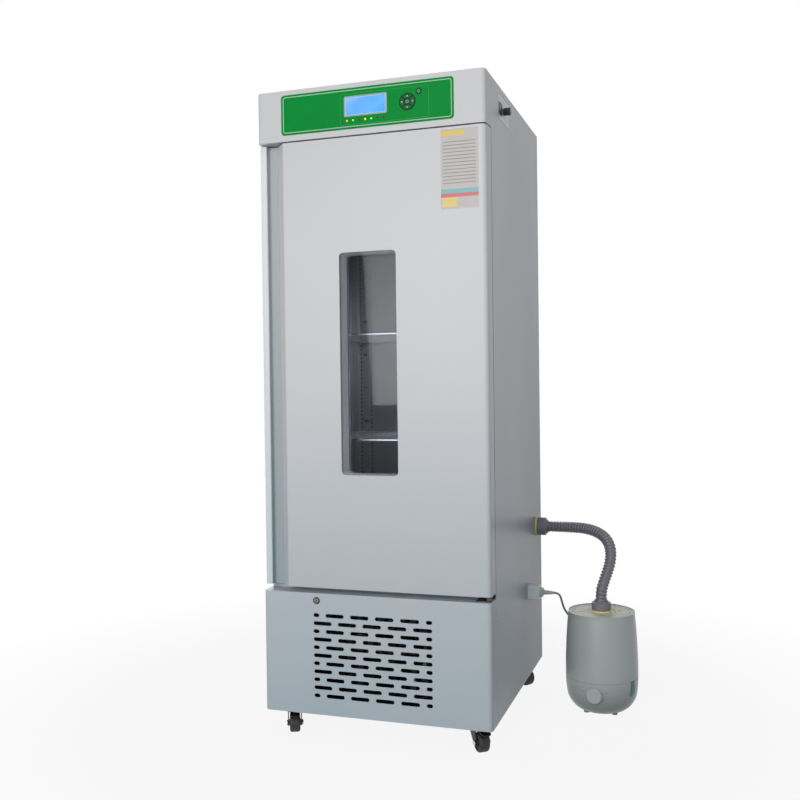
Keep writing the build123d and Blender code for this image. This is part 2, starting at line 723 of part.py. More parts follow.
def door_plug(inset, d0):
    """Raised block on the back of the door, inset for its own skin, from a depth."""
    side = CHAMBER_X - PLUG_MARGIN - inset
    return block(-side, side, d0, DOOR_THICKNESS + PLUG_RISE - inset,
                 CHAMBER_Z0 + PLUG_MARGIN + inset, CHAMBER_Z1 - PLUG_MARGIN - inset)


def door_inner_skin():
    back = DOOR_THICKNESS
    skin = block(GROOVE_X + SHEET, WIDTH / 2 - SHEET, back - SHEET, back,
                 DOOR_Z0 + SHEET, DOOR_Z1 - SHEET)
    raised = door_plug(0, back - SHEET)
    raised = fillet(raised.edges().group_by(Axis.Y)[-1], PLUG_FILLET)
    skin += raised
    hollow = door_plug(SHEET, back - SHEET - 1)
    skin -= fillet(hollow.edges().group_by(Axis.Y)[-1], PLUG_FILLET - SHEET)
    return skin - window_prism(WINDOW_WALL, 0, DEPTH / 2)


def door_foam():
    back = DOOR_THICKNESS - SHEET
    z0 = DOOR_Z0 + SHEET
    z1 = DOOR_Z1 - SHEET
    foam = door_main(SHEET, z0, z1, DOOR_THICKNESS)
    foam += block(GROOVE_X + SHEET, WIDTH / 2 - SHEET, GRIP_DEPTH + 4, DOOR_THICKNESS, z0, z1)
    foam -= block(-WIDTH, WIDTH, back, DEPTH, z0 - 1, z1 + 1)
    raised = door_plug(SHEET, back)
    foam += fillet(raised.edges().group_by(Axis.Y)[-1], PLUG_FILLET - SHEET)
    foam -= hinge_holes(BUSH_OUTER, BUSH_REACH)
    return foam - window_prism(WINDOW_WALL, 0, DEPTH / 2)


def ring(half_x, z0, z1, width, d0, d1):
    """Rectangular ring, from its outer edges inwards."""
    outer = block(-half_x, half_x, d0, d1, z0, z1)
    return outer - block(-half_x + width, half_x - width, 0, DEPTH, z0 + width, z1 - width)


def door_gasket():
    """Push-in base with a magnetic lip that closes on the breaker frame."""
    half = MOUTH_X - 5
    low = MOUTH_Z0 + 5
    high = MOUTH_Z1 - 5
    foot = 2.0
    gasket = ring(half, low, high, GASKET_WIDTH, DOOR_THICKNESS, DOOR_THICKNESS + foot)
    inset = (GASKET_WIDTH - GASKET_LIP) / 2
    return gasket + ring(half - inset, low + inset, high - inset, GASKET_LIP,
                         DOOR_THICKNESS + foot, FACE_DEPTH - SEAL_GAP)


LIP = 10.0
LIP_THICKNESS = 2.0


def window_frame():
    """Jamb through the door, with a lip over the raised back."""
    back = DOOR_THICKNESS + PLUG_RISE
    frame = window_prism(WINDOW_WALL, SHEET, back)
    frame += window_prism(WINDOW_WALL + LIP, back, back + LIP_THICKNESS)
    return frame - window_prism(0, 0, DEPTH / 2)


def window_panes():
    back = DOOR_THICKNESS + PLUG_RISE
    outer = window_prism(0, 6, 6 + GLASS)
    inner = window_prism(0, back - 6 - GLASS, back - 6)
    return group([outer, inner])


# Hinges

BRACKET_LEFT = 40.0
BRACKET_FRONT = 8.0


def bracket_plate(z0, z1, back):
    right = WIDTH / 2 - 2
    points = [(right - BRACKET_LEFT, back, 0), (right - BRACKET_LEFT, BRACKET_FRONT, 6),
              (right, BRACKET_FRONT, 10), (right, back, 0)]
    return plan(points, z0, z1)


def hinge_brackets():
    """Bottom angle bracket, top plate and their shouldered pins."""
    back = FACE_DEPTH
    top = LEDGE_Z + BRACKET
    right = WIDTH / 2 - 2
    pin_at = (HINGE_X, fy(HINGE_DEPTH))
    lower = bracket_plate(LEDGE_Z, top, back)
    lower += block(right - BRACKET_LEFT, right, back - BRACKET, back, top, DOOR_Z0 - 1)
    lower -= rod((*pin_at, LEDGE_Z - 1), (0, 0, 1), PIN_RADIUS, 10)
    upper = bracket_plate(HEADER_Z - BRACKET, HEADER_Z, back)
    upper -= rod((*pin_at, HEADER_Z - 10), (0, 0, 1), PIN_RADIUS, 20)
    low_pin = rod((*pin_at, LEDGE_Z), (0, 0, 1), PIN_RADIUS, DOOR_Z0 + PIN_REACH - LEDGE_Z)
    low_pin += rod((*pin_at, top), (0, 0, 1), PIN_COLLAR, DOOR_Z0 - END_PLAY - top)
    high_pin = rod((*pin_at, HEADER_Z), (0, 0, -1), PIN_RADIUS, HEADER_Z - DOOR_Z1 + PIN_REACH)
    high_pin += rod((*pin_at, HEADER_Z - BRACKET), (0, 0, -1), PIN_COLLAR,
                    DOOR_GAP_TOP - BRACKET - END_PLAY)
    return group([lower, upper, low_pin, high_pin])


# Control header


def led_places():
    return [LED_X + (i - (LED_COUNT - 1) / 2) * LED_PITCH for i in range(LED_COUNT)]


def key_sector(angle, gap):
    """One arrow key of the round pad, centred on an angle."""
    outer = PAD_RADIUS + gap
    inner = PAD_INNER - gap
    half = 45 - 3.5
    reach = 3 * PAD_RADIUS
    wedge = make_face(Polyline(
        (-gap * 2, 0), (reach * cos(radians(half)), -reach * sin(radians(half))),
        (reach * cos(radians(half)), reach * sin(radians(half))), close=True))
    sector = (Circle(outer) - Circle(inner)) & wedge
    return Rot(0, 0, angle) * sector


KEY_TRAVEL = 0.5
KEY_BACK = 1.2
KEY_SKETCHES = {"key_right": 0, "key_up": 90, "key_left": 180, "key_down": 270}


def key_outlines(gap):
    """Name, sketch plane position and outline of each key."""
    outlines = {}
    for name, angle in KEY_SKETCHES.items():
        outlines[name] = (PAD_X, PAD_Z, key_sector(angle, gap))
    outlines["key_ok"] = (PAD_X, PAD_Z, Circle(OK_RADIUS + gap))
    outlines["key_esc"] = (ESC_X, ESC_Z, Circle(ESC_RADIUS + gap))
    return outlines


def control_overlay():
    """Printed membrane film on the header, open over the display, lamps and keys."""
    outline = RectangleRounded(PANEL_WIDTH, PANEL_HEIGHT, PANEL_RADIUS)
    film = plate(front_plane(PANEL_CENTRE_X, PANEL_CENTRE_Z), outline, 0, PANEL_FILM)
    display = Rectangle(LCD_WIDTH, LCD_HEIGHT)
    film -= plate(front_plane(LCD_X, LCD_Z), display, 1, 5)
    for x in led_places():
        film -= plate(front_plane(x, LED_Z), Circle(LED_RADIUS), 1, 5)
    for x, z, outline in key_outlines(KEY_GAP).values():
        film -= plate(front_plane(x, z), outline, 1, 5)
    return film


def display_board():
    """Circuit board behind the header, with the display, lamps and key switches."""
    x0, x1, z0, z1 = -75.0, 165.0, 1601.0, 1682.0
    board = block(x0, x1, BOARD_DEPTH, BOARD_DEPTH + 1.6, z0, z1)
    for x in (x0 + 5, x1 - 5):
        for z in (z0 + 5, z1 - 5):
            board += plate(front_plane(x, z, BOARD_DEPTH), Circle(3), 0, BOARD_DEPTH - SHEET)
    for name, (x, z, outline) in key_outlines(0).items():
        angle = radians(KEY_SKETCHES.get(name, 0))
        reach = (PAD_RADIUS + PAD_INNER) / 2 if name in KEY_SKETCHES else 0
        place = front_plane(x + reach * cos(angle), z + reach * sin(angle), BOARD_DEPTH)
        board += plate(place, Circle(2.5), 0, BOARD_DEPTH - KEY_BACK - KEY_TRAVEL - END_PLAY)
    proud = PANEL_FILM / 2
    lcd = plate(front_plane(LCD_X, LCD_Z), Rectangle(LCD_WIDTH, LCD_HEIGHT), BOARD_DEPTH, proud)
    lamps = []
    for x in led_places():
        lamp = plate(front_plane(x, LED_Z), Circle(LED_RADIUS), BOARD_DEPTH, PANEL_FILM + 0.8)
        lamps.append(fillet(lamp.edges().group_by(Axis.Y)[0], 1.0))
    return group([board, lcd] + lamps)


def membrane_key(x, z, outline):
    key = plate(front_plane(x, z), outline, KEY_BACK, PANEL_FILM + KEY_PROUD)
    return chamfer(key.edges().group_by(Axis.Y)[0], 0.4)


# Side controls


def side_controls():
    """Rocker switch body and the body of the over-temperature limiter."""
    x = WIDTH / 2
    wall = 2.0
    width = ROCKER_WIDTH + 2 * wall
    height = ROCKER_HEIGHT + 5
    body = plate(side_plane(ROCKER_DEPTH, ROCKER_Z), Rectangle(width, height), 18, 0)
    rim = RectangleRounded(width + 4, height + 3, 2)
    body += plate(side_plane(ROCKER_DEPTH, ROCKER_Z), rim, 0, 2)
    opening = Rectangle(ROCKER_WIDTH + 0.4, ROCKER_HEIGHT + 3)
    body -= plate(side_plane(ROCKER_DEPTH, ROCKER_Z), opening, 16, 5)
    pivot = (x - 0.5, fy(ROCKER_DEPTH) - width / 2 + 1, ROCKER_Z)
    body -= rod(pivot, (0, 1, 0), 1.5 + RUNNING, width - 2)
    limiter = plate(side_plane(LIMITER_DEPTH, LIMITER_Z), Circle(BUSH_RADIUS), 14, 1.7)
    limiter += plate(side_plane(LIMITER_DEPTH, LIMITER_Z, x - 14), Circle(13), 26, 0)
    nut = RegularPolygon(8, 6)
    limiter += plate(side_plane(LIMITER_DEPTH, LIMITER_Z), nut, 0, 1.5)
    bore = Circle(3 + RUNNING)
    limiter -= plate(side_plane(LIMITER_DEPTH, LIMITER_Z), bore, 12, 5)
    return group([body, limiter])


def rocker():
    """Paddle with a hollowed face, resting on its upper side."""
    half = ROCKER_HEIGHT / 2 - 0.3
    points = [(3.0, half), (-3, half - 1), (-6, 3), (-6, -3), (-3, 1 - half), (3.0, -half), (1.4, 0)]
    paddle = extrude(make_face(Polyline(*points, close=True)), ROCKER_WIDTH / 2, both=True)
    pins = Cylinder(1.5, ROCKER_WIDTH + 1.6)
    section = Plane(origin=(WIDTH / 2 - 0.5, fy(ROCKER_DEPTH), ROCKER_Z),
                    x_dir=(1, 0, 0), z_dir=(0, -1, 0))
    return section * Rot(0, 0, ROCKER_TILT) * (paddle + pins)


def limiter_knob():
    """Fluted knob on the limiter's shaft."""
    back = 2.0
    knob = plate(side_plane(LIMITER_DEPTH, LIMITER_Z), Circle(LIMITER_RADIUS), -back, back + 18)
    knob = fillet(knob.edges().group_by(Axis.X)[-1], 1.2)
    for i in range(12):
        flute = Rot(0, 0, 30 * i) * Pos(LIMITER_RADIUS + 0.6, 0) * Circle(1.4)
        knob -= plate(side_plane(LIMITER_DEPTH, LIMITER_Z), flute, -back - 3, 30)
    return knob + plate(side_plane(LIMITER_DEPTH, LIMITER_Z), Circle(3), 11, back + 1)


# Socket and plug

PIN_SPACING = 12.7
PLUG_LENGTH = 10.0
PLUG_WIDTH = 32.0
PLUG_HEIGHT = 25.0
RELIEF_LENGTH = 31.0
RELIEF_RADIUS = 7.5
RELIEF_END = 4.5
RELIEF_RIBS = 5
RIB_GROOVE = 1.3


def socket_blades(grow):
    """The plug's two blades, as solids or as the slots that take them."""
    face = WIDTH / 2 + SOCKET_PROUD
    blades = []
    for side in (-1, 1):
        sketch = Pos(side * PIN_SPACING / 2, 0) * Rectangle(1.6 + grow, 6.4 + grow)
        blades.append(plate(side_plane(SOCKET_DEPTH, SOCKET_Z, face), sketch, 15, 1))
    return blades


def outlet_box():
    """Surface box on the side wall that feeds the humidifier."""
    outline = RectangleRounded(SOCKET_WIDTH, SOCKET_HEIGHT, 4)
    box = plate(side_plane(SOCKET_DEPTH, SOCKET_Z), outline, 0, SOCKET_PROUD)
    box = fillet(box.edges().group_by(Axis.X)[-1], 2)
    hollow = RectangleRounded(SOCKET_WIDTH - 5, SOCKET_HEIGHT - 5, 2)
    box -= plate(side_plane(SOCKET_DEPTH, SOCKET_Z), hollow, 1, SOCKET_PROUD - 16)
    return box - socket_blades(0)


def relief_outline():
    """Half section of the tapered relief, with a groove behind each rib."""
    rib = RELIEF_LENGTH / (2 * RELIEF_RIBS + 1)
    points = [(0, 0)]
    for i in range(2 * RELIEF_RIBS + 1):
        taper = RELIEF_RADIUS + (RELIEF_END - RELIEF_RADIUS) * i / (2 * RELIEF_RIBS)
        radius = taper - (RIB_GROOVE if i % 2 else 0)
        points += [(radius, i * rib), (radius, (i + 1) * rib)]
    return points + [(0, RELIEF_LENGTH)]


def plug():
    face = WIDTH / 2 + SOCKET_PROUD
    outline = RectangleRounded(PLUG_WIDTH, PLUG_HEIGHT, 8)
    body = plate(side_plane(SOCKET_DEPTH, SOCKET_Z, face), outline, 0, PLUG_LENGTH)
    body = fillet(body.edges().group_by(Axis.X)[-1], 4)
    relief = revolve(Plane.XZ * make_face(Polyline(*relief_outline(), close=True)), Axis.Z)
    body += side_plane(SOCKET_DEPTH, SOCKET_Z, face + PLUG_LENGTH) * relief
    for blade in socket_blades(0):
        body += blade
    return body


# Hose port, cuffs and seals

UPPER_CUFF = 26.0
LOWER_CUFF = 22.0
CUFF_NECK = 5.0
NECK_RADIUS = 20.0
PORT_MOUTH = WIDTH / 2 + SEAL_RING + UPPER_CUFF + CUFF_NECK
LID_Z = 274.0
LID = 6.0
LID_GROOVE_RADIUS = 80.0
LID_VENTS = 28
SPOUT_TOP = LID_Z + LID + SEAL_RING + LOWER_CUFF + CUFF_NECK


def cuff(length):
    """Stepped cuff that clamps a hose end, along local +Z from its seat."""
    sketch = rounded([(PORT_RADIUS, 0, 0), (CUFF_RADIUS, 0, 2), (CUFF_RADIUS, length, 3),
                      (NECK_RADIUS, length, 1.5), (NECK_RADIUS, length + CUFF_NECK, 0),
                      (PORT_RADIUS, length + CUFF_NECK, 0)])
    return revolve(Plane.XZ * sketch, Axis.Z)


def port_plane(x):
    return Plane(origin=(x, fy(PORT_DEPTH), PORT_Z), x_dir=(0, 1, 0), z_dir=(1, 0, 0))


def hose_fittings():
    """Tube through the cabinet wall and the two hose cuffs."""
    inside = CHAMBER_X - 6
    axis_at = (inside, fy(PORT_DEPTH), PORT_Z)
    tube = rod(axis_at, (1, 0, 0), PORT_RADIUS, PORT_MOUTH - inside)
    tube -= rod(axis_at, (1, 0, 0), PORT_RADIUS - 2, PORT_MOUTH - inside)
    upper = port_plane(WIDTH / 2 + SEAL_RING) * cuff(UPPER_CUFF)
    lower = Pos(TANK_X, TANK_Y, LID_Z + LID + SEAL_RING) * cuff(LOWER_CUFF)
    return group([tube, upper, lower])


def seal_rings():
    """Soft ring under each cuff."""
    flat = Cylinder(CUFF_RADIUS + 1.5, SEAL_RING, align=(Align.CENTER, Align.CENTER, Align.MIN))
    flat -= Cylinder(PORT_RADIUS, SEAL_RING, align=(Align.CENTER, Align.CENTER, Align.MIN))
    upper = port_plane(WIDTH / 2) * flat
    lower = Pos(TANK_X, TANK_Y, LID_Z + LID) * flat
    return group([upper, lower])


# Humidifier

BASE_FOOT_RADIUS = 64.0
INLET_Z = 20.0
INLET_REACH = 102.0
BOSS_RADIUS = 24.5
BOSS_REACH = 101.5
KNOB_SKIRT = 2.0
KNOB_HEIGHT = 9.0


def at_tank(shape):
    return Pos(TANK_X, TANK_Y, 0) * shape


def knob_plane(reach):
    angle = radians(KNOB_ANGLE)
    outward = (cos(angle), sin(angle), 0)
    origin = (TANK_X + reach * cos(angle), TANK_Y + reach * sin(angle), KNOB_Z)
    return Plane(origin=origin, x_dir=(-sin(angle), cos(angle), 0), z_dir=outward)


def humidifier_base():
    """Moulded base with a boss for the mist knob, on four rubber feet."""
    seam = TANK_SEAM
    outline = [
        Line((0, FOOT_HEIGHT), (BASE_FOOT_RADIUS, FOOT_HEIGHT)),
        ThreePointArc((BASE_FOOT_RADIUS, FOOT_HEIGHT), (87.5, 27), (98, 54)),
        ThreePointArc((98, 54), (100.6, 76), (TANK_RADIUS - 0.3, seam)),
        Line((TANK_RADIUS - 0.3, seam), (0, seam)),
        Line((0, seam), (0, FOOT_HEIGHT)),
    ]
    base = at_tank(revolve(Plane.XZ * make_face(outline), Axis.Z))
    base += plate(knob_plane(BOSS_REACH), Circle(BOSS_RADIUS), 20, 0)
    base -= plate(knob_plane(BOSS_REACH), Circle(3 + RUNNING), 14, 1)
    inlet = (TANK_X, TANK_Y + 70, INLET_Z)
    base += rod(inlet, (0, 1, 0), 6, INLET_REACH - 70)
    feet = []
    for angle in (45, 135, 225, 315):
        place = Pos(55 * cos(radians(angle)), 55 * sin(radians(angle)), 0)
        foot = Cylinder(8, FOOT_HEIGHT, align=(Align.CENTER, Align.CENTER, Align.MIN))
        feet.append(at_tank(place * foot))
    return group([base] + feet)


def humidifier_tank():
    """Water tank: a tapering wall with a floor, open at the top for the lid."""
    seam = TANK_SEAM
    rim = TANK_TOP_RADIUS
    lid_radius = rim - TANK_WALL
    outline = [
        Line((0, seam), (TANK_RADIUS - 1, seam)),
        Line((TANK_RADIUS - 1, seam), (TANK_RADIUS, seam + 2)),
        ThreePointArc((TANK_RADIUS, seam + 2), (99.6, 190), (rim, TANK_TOP - 8)),
        Line((rim, TANK_TOP - 8), (rim, TANK_TOP)),
        Line((rim, TANK_TOP), (lid_radius, TANK_TOP)),
        Line((lid_radius, TANK_TOP), (lid_radius, LID_Z)),
        Line((lid_radius, LID_Z), (lid_radius - 3, LID_Z)),
        Line((lid_radius - 3, LID_Z), (TANK_RADIUS - 8, seam + TANK_WALL)),
        Line((TANK_RADIUS - 8, seam + TANK_WALL), (0, seam + TANK_WALL)),
        Line((0, seam + TANK_WALL), (0, seam)),
    ]
    return at_tank(revolve(Plane.XZ * make_face(outline), Axis.Z))


def humidifier_lid():
    """Lid with finger recesses, short ribs and the mist spout that the hose cuff fits over."""
    base = (Align.CENTER, Align.CENTER, Align.MIN)
    lid = Pos(0, 0, LID_Z) * Cylinder(TANK_TOP_RADIUS - TANK_WALL, LID, align=base)
    top = Plane.XY.offset(LID_Z + LID)
    lid -= plate(top, Circle(LID_GROOVE_RADIUS + 1) - Circle(LID_GROOVE_RADIUS - 1), 1, 1)
    for side in (-1, 1):
        recess = Pos(side * 56, 0) * SlotOverall(22, 10)
        lid -= plate(top, Rot(0, 0, 18) * recess, 3, 1)
    ribs = [Rot(0, 0, 360 * i / LID_VENTS) * Pos(38, 0) * Rectangle(9, 2) for i in range(LID_VENTS)]
    lid += [plate(top, rib, 1, 0.8) for rib in ribs]
    lid += Pos(0, 0, LID_Z) * Cylinder(PORT_RADIUS, SPOUT_TOP - LID_Z, align=base)
    lid -= Pos(0, 0, LID_Z - 1) * Cylinder(PORT_RADIUS - 2, SPOUT_TOP, align=base)
    return at_tank(lid)


def humidifier_knob():
    """Flat mist control knob on a thin skirt, with a pointer groove in its face."""
    seat = knob_plane(BOSS_REACH + END_PLAY)
    knob = fillet(extrude(Circle(KNOB_RADIUS - 1), KNOB_HEIGHT).edges().group_by(Axis.Z)[-1], 1.5)
    knob += extrude(Circle(KNOB_RADIUS), KNOB_SKIRT)
    pointer = Pos(0, KNOB_RADIUS - 8, KNOB_HEIGHT) * extrude(SlotOverall(8, 2, rotation=90), -0.8)
    return seat * (knob - pointer) + plate(knob_plane(BOSS_REACH), Circle(3), 12, END_PLAY + 1)


# Casters


def caster_plates():
    """Top plate, swivel race and rivet of each caster."""
    solids = []
    for x, y, angle in caster_places().values():
        flat = extrude(RectangleRounded(PLATE_SIZE, PLATE_SIZE, 6), -2.5)
        flat += Pos(0, 0, -2.5) * extrude(Circle(21), -4)
        flat += Pos(0, 0, -6.5) * extrude(Circle(PIN_RADIUS), -8)
        flat += Pos(0, 0, -6.5 - 4 - 2 * END_PLAY) * extrude(Circle(7.5), -3)
        solids.append(Pos(x, y, BASE_Z) * flat)
    return group(solids)


def caster_places():
    front = fy(CASTER_INSET_Y)
    places = {}
    for name, angle in CASTERS.items():
        x = CASTER_X if name.endswith("right") else -CASTER_X
        y = front if name.startswith("front") else -front
        places[name] = (x, y, angle)
    return places


FORK_TOP = CASTER_HEIGHT - 6.5 - END_PLAY
CHEEK_INNER = WHEEL_WIDTH / 2 + 2.5
CHEEK = 2.5
PEDAL_Y = -15.0
PEDAL_Z = 54.5
PEDAL_WIDTH = 26.0


def caster_fork():
    """Pressed fork: round top, two cheeks and the riveted axle, trail along -Y."""
    fork = Pos(0, 0, FORK_TOP) * extrude(Circle(22), -4)
    fork -= Pos(0, 0, FORK_TOP) * extrude(Circle(PIN_RADIUS + RUNNING), -4)
    low = FORK_TOP - 9
    edges = [
        *(Pos(-TRAIL, WHEEL_RADIUS) * Circle(9)).edges(),
        *Polyline((-20, low), (-20, FORK_TOP), (13, FORK_TOP), (13, low), close=True).edges(),
    ]
    cheek_face = make_hull(edges)
    for x in (-CHEEK_INNER - CHEEK, CHEEK_INNER):
        side = Plane(origin=(x, 0, 0), x_dir=(0, 1, 0), z_dir=(1, 0, 0))
        cheek = extrude(side * cheek_face, CHEEK)
        cheek -= rod((x - 1, PEDAL_Y, PEDAL_Z), (1, 0, 0), 2.5 + RUNNING, CHEEK + 2)
        fork += cheek
    reach = CHEEK_INNER + CHEEK + 2
    axle = rod((-reach, -TRAIL, WHEEL_RADIUS), (1, 0, 0), AXLE_RADIUS, 2 * reach)
    fork += axle
    for x in (-reach, reach - 2):
        fork += rod((x, -TRAIL, WHEEL_RADIUS), (1, 0, 0), 6.5, 2)
    return fork


def caster_wheel():
    """Tyre with rounded shoulders on a hub that runs on the axle."""
    half = WHEEL_WIDTH / 2
    hub = CHEEK_INNER - END_PLAY
    bore = AXLE_RADIUS + RUNNING
    section = rounded([
        (bore, -hub, 0), (9, -hub, 1), (9, -half + 3, 1), (17, -half + 3, 1), (17, -half, 1),
        (WHEEL_RADIUS, -half, 6), (WHEEL_RADIUS, half, 6), (17, half, 1), (17, half - 3, 1),
        (9, half - 3, 1), (9, hub, 1), (bore, hub, 0)])
    wheel = revolve(Plane.XZ * section, Axis.Z)
    place = Plane(origin=(0, -TRAIL, WHEEL_RADIUS), x_dir=(0, 1, 0), z_dir=(1, 0, 0))
    return place * wheel


def brake_pedal():
    """Toe pedal over the wheel, pinned in the fork's cheeks."""
    barrel = rod((-CHEEK_INNER + END_PLAY, PEDAL_Y, PEDAL_Z), (1, 0, 0), 3.8,
                 2 * (CHEEK_INNER - END_PLAY))
    pins = rod((-CHEEK_INNER - CHEEK, PEDAL_Y, PEDAL_Z), (1, 0, 0), 2.5,
               2 * (CHEEK_INNER + CHEEK))
    section = Plane(origin=(-PEDAL_WIDTH / 2, 0, 0), x_dir=(0, 1, 0), z_dir=(1, 0, 0))
    arm = make_face(Polyline((-14, 53.5), (-14, 57.2), (-40, 57.2), (-58, 53.5), (-58, 50.8),
                             (-40, 54), close=True))
    plate_above = extrude(section * arm, PEDAL_WIDTH)
    outline = Pos(0, -36) * RectangleRounded(PEDAL_WIDTH, 48, PEDAL_WIDTH / 2 - 0.5)
    return barrel + pins + (plate_above & extrude(outline, CASTER_HEIGHT))


def placed_caster(name, shape):
    x, y, angle = caster_places()[name]
    return Pos(x, y, 0) * Rot(0, 0, angle) * shape


# Hose and cord

# Routes, as x and y from the cabinet's right rear edge and height above the floor
HOSE_ROUTE = [
    (35, -73.3, 492.6), (72, -73.3, 492.6), (114, -88, 494.5), (152, -105, 495.5),
    (184, -124, 491), (210, -143, 481), (228, -162, 464), (236, -181, 440), (235, -198, 411),
    (226, -214, 381), (217, -229, 353), (213, -236, 333), (213, -236, 311),
]
LEAD_ROUTE = [
    (213, -134, 20), (213, -122.6, 20), (215, -107.8, 15.6), (219, -95.2, 7.4),
    (221, -80.4, 3), (221, -69, 3),
]
DROP_ROUTE = [
    (74, -207.5, 318), (83, -207.5, 318), (91.5, -206.5, 311), (95.5, -202, 294),
    (99, -193, 273), (107, -179, 254), (117, -162, 234), (126, -145, 206), (131, -133, 176),
    (135, -124, 144), (138, -117, 112), (140, -112, 80), (141.2, -109, 53),
    (141.7, -107.8, 31.5), (142.3, -102.7, 17.8), (142.8, -93.3, 8.1), (143, -81, 3),
    (143, -69, 3),
]
COIL_OFFSET = (182.0, -45.0)
COIL_OUTER = 42.0
COIL_INNER = 24.0
COIL_LAYERS = 2
COIL_TURN = COIL_OUTER - CORD_RADIUS
STUB = 24.0


def corner_radii(points):
    """Largest arc at each corner: 0.45 of the shorter run over the tangent of half the turn."""
    radii = []
    for before, here, after in zip(points, points[1:], points[2:]):
        run_in = Vector(*here) - Vector(*before)
        run_out = Vector(*after) - Vector(*here)
        turn = run_in.get_angle(run_out)
        shorter = min(run_in.length, run_out.length)
        radii.append(0.45 * shorter / tan(radians(turn) / 2))
    return radii


def flexible_tube(name, route, radius):
    points = [(EDGE_X + x, EDGE_Y + y, z) for x, y, z in route]
    radii = corner_radii(points)
    path = FilletPolyline(*points, radius=radii)
    tube = sweep(Plane(origin=path @ 0, z_dir=path % 0) * Circle(radius), path=path)
    ideal = Circle(radius).area * path.length
    print(name, "length", round(path.length, 1), "volume ratio", round(tube.volume / ideal, 4),
          "radii", [round(r, 1) for r in radii])
    return tube


def cord_coil():
    """Outer shape of the put-away coil, with a short straight end on each side."""
    height = 2 * CORD_RADIUS * COIL_LAYERS
    coil = extrude(Circle(COIL_OUTER) - Circle(COIL_INNER), height)
    for side in (-1, 1):
        coil += rod((side * COIL_TURN, 0, CORD_RADIUS), (0, -1, 0), CORD_RADIUS, STUB)
    return Pos(EDGE_X + COIL_OFFSET[0], EDGE_Y + COIL_OFFSET[1], 0) * coil


save("outer_shell", outer_shell())
save("back_panel", back_panel())
save("cabinet_foam", cabinet_foam())
save("inner_liner", inner_liner())
save("breaker_frame", breaker_frame())
save("base_chassis", base_chassis())
save("base_front_panel", base_front_panel())
save("lock_housing", lock_housing())
save("lock_barrel", lock_barrel())
save("compressor", compressor())
save("condenser", condenser())
save("fan_shroud", fan_shroud())
save("condenser_fan", condenser_fan())
save("air_handler", air_handler())
save("circulation_fan", circulation_fan())
save("duct_panel", duct_panel())
save("shelf_rails", shelf_rails())
for shelf_name, shelf_level in SHELF_LEVELS.items():
    save(shelf_name, wire_shelf(shelf_level))
save("door_outer_skin", door_outer_skin())
save("grip_profile", grip_profile())
save("door_inner_skin", door_inner_skin())
save("door_foam", door_foam())
save("door_gasket", door_gasket())
save("window_frame", window_frame())
save("window_panes", window_panes())
save("hinge_brackets", hinge_brackets())
save("control_overlay", control_overlay())
save("display_board", display_board())
for key_name, (key_x, key_z, key_outline) in key_outlines(0).items():
    save(key_name, membrane_key(key_x, key_z, key_outline))
save("side_controls", side_controls())
save("rocker", rocker())
save("limiter_knob", limiter_knob())
save("outlet_box", outlet_box())
save("plug", plug())
save("hose_fittings", hose_fittings())
save("seal_rings", seal_rings())
save("humidifier_base", humidifier_base())
save("humidifier_tank", humidifier_tank())
save("humidifier_lid", humidifier_lid())
save("humidifier_knob", humidifier_knob())
save("caster_plates", caster_plates())
for caster in CASTERS:
    save(f"caster_fork_{caster}", placed_caster(caster, caster_fork()))
    save(f"caster_wheel_{caster}", placed_caster(caster, caster_wheel()))
    if caster.startswith("front"):
        save(f"brake_pedal_{caster}", placed_caster(caster, brake_pedal()))
save("hose", flexible_tube("hose", HOSE_ROUTE, HOSE_RADIUS))
lead = flexible_tube("cord at the humidifier", LEAD_ROUTE, CORD_RADIUS)
drop = flexible_tube("cord at the plug", DROP_ROUTE, CORD_RADIUS)
save("power_cord", group([lead, drop]))
save("cord_coil", cord_coil())
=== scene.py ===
import bpy
from math import cos, sin, radians, tau
from mathutils import Euler, Matrix, Vector


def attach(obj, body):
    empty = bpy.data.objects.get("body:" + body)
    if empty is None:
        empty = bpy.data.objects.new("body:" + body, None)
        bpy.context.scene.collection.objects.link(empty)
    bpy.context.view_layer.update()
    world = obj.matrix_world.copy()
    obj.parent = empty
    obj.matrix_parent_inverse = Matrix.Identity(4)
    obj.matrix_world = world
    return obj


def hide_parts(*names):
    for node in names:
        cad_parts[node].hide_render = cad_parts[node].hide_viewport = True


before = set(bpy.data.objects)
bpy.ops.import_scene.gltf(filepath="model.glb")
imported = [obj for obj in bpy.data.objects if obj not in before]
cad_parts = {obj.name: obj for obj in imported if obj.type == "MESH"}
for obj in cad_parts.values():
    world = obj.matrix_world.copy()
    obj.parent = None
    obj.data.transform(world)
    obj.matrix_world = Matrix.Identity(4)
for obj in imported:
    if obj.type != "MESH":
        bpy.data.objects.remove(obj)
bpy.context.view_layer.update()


# Camera and studio
# A pale floor that fades into a white surround, a large soft lamp before the cabinet, one behind
# it, small ones high on the right and in the chamber, and a camera that looks at the front.

CAMERA_PLACE = (0.8474, -2.6568, 0.9282)
CAMERA_LENS = 43.17
CAMERA_YAW = 18.413
CAMERA_PITCH = -0.8095
CAMERA_ROLL = -0.7164
camera_data = bpy.data.cameras.new("studio_camera")
camera_data.lens = CAMERA_LENS
camera_data.sensor_width = 36.0
camera_data.clip_end = 60.0
camera = bpy.data.objects.new("studio_camera", camera_data)
bpy.context.scene.collection.objects.link(camera)
aim = Euler((radians(90 + CAMERA_PITCH), 0, radians(CAMERA_YAW))).to_matrix()
aim = aim @ Matrix.Rotation(radians(CAMERA_ROLL), 3, "Z")
camera.matrix_world = Matrix.Translation(CAMERA_PLACE) @ aim.to_4x4()
bpy.context.scene.camera = camera
bpy.context.scene.view_settings.view_transform = "Standard"


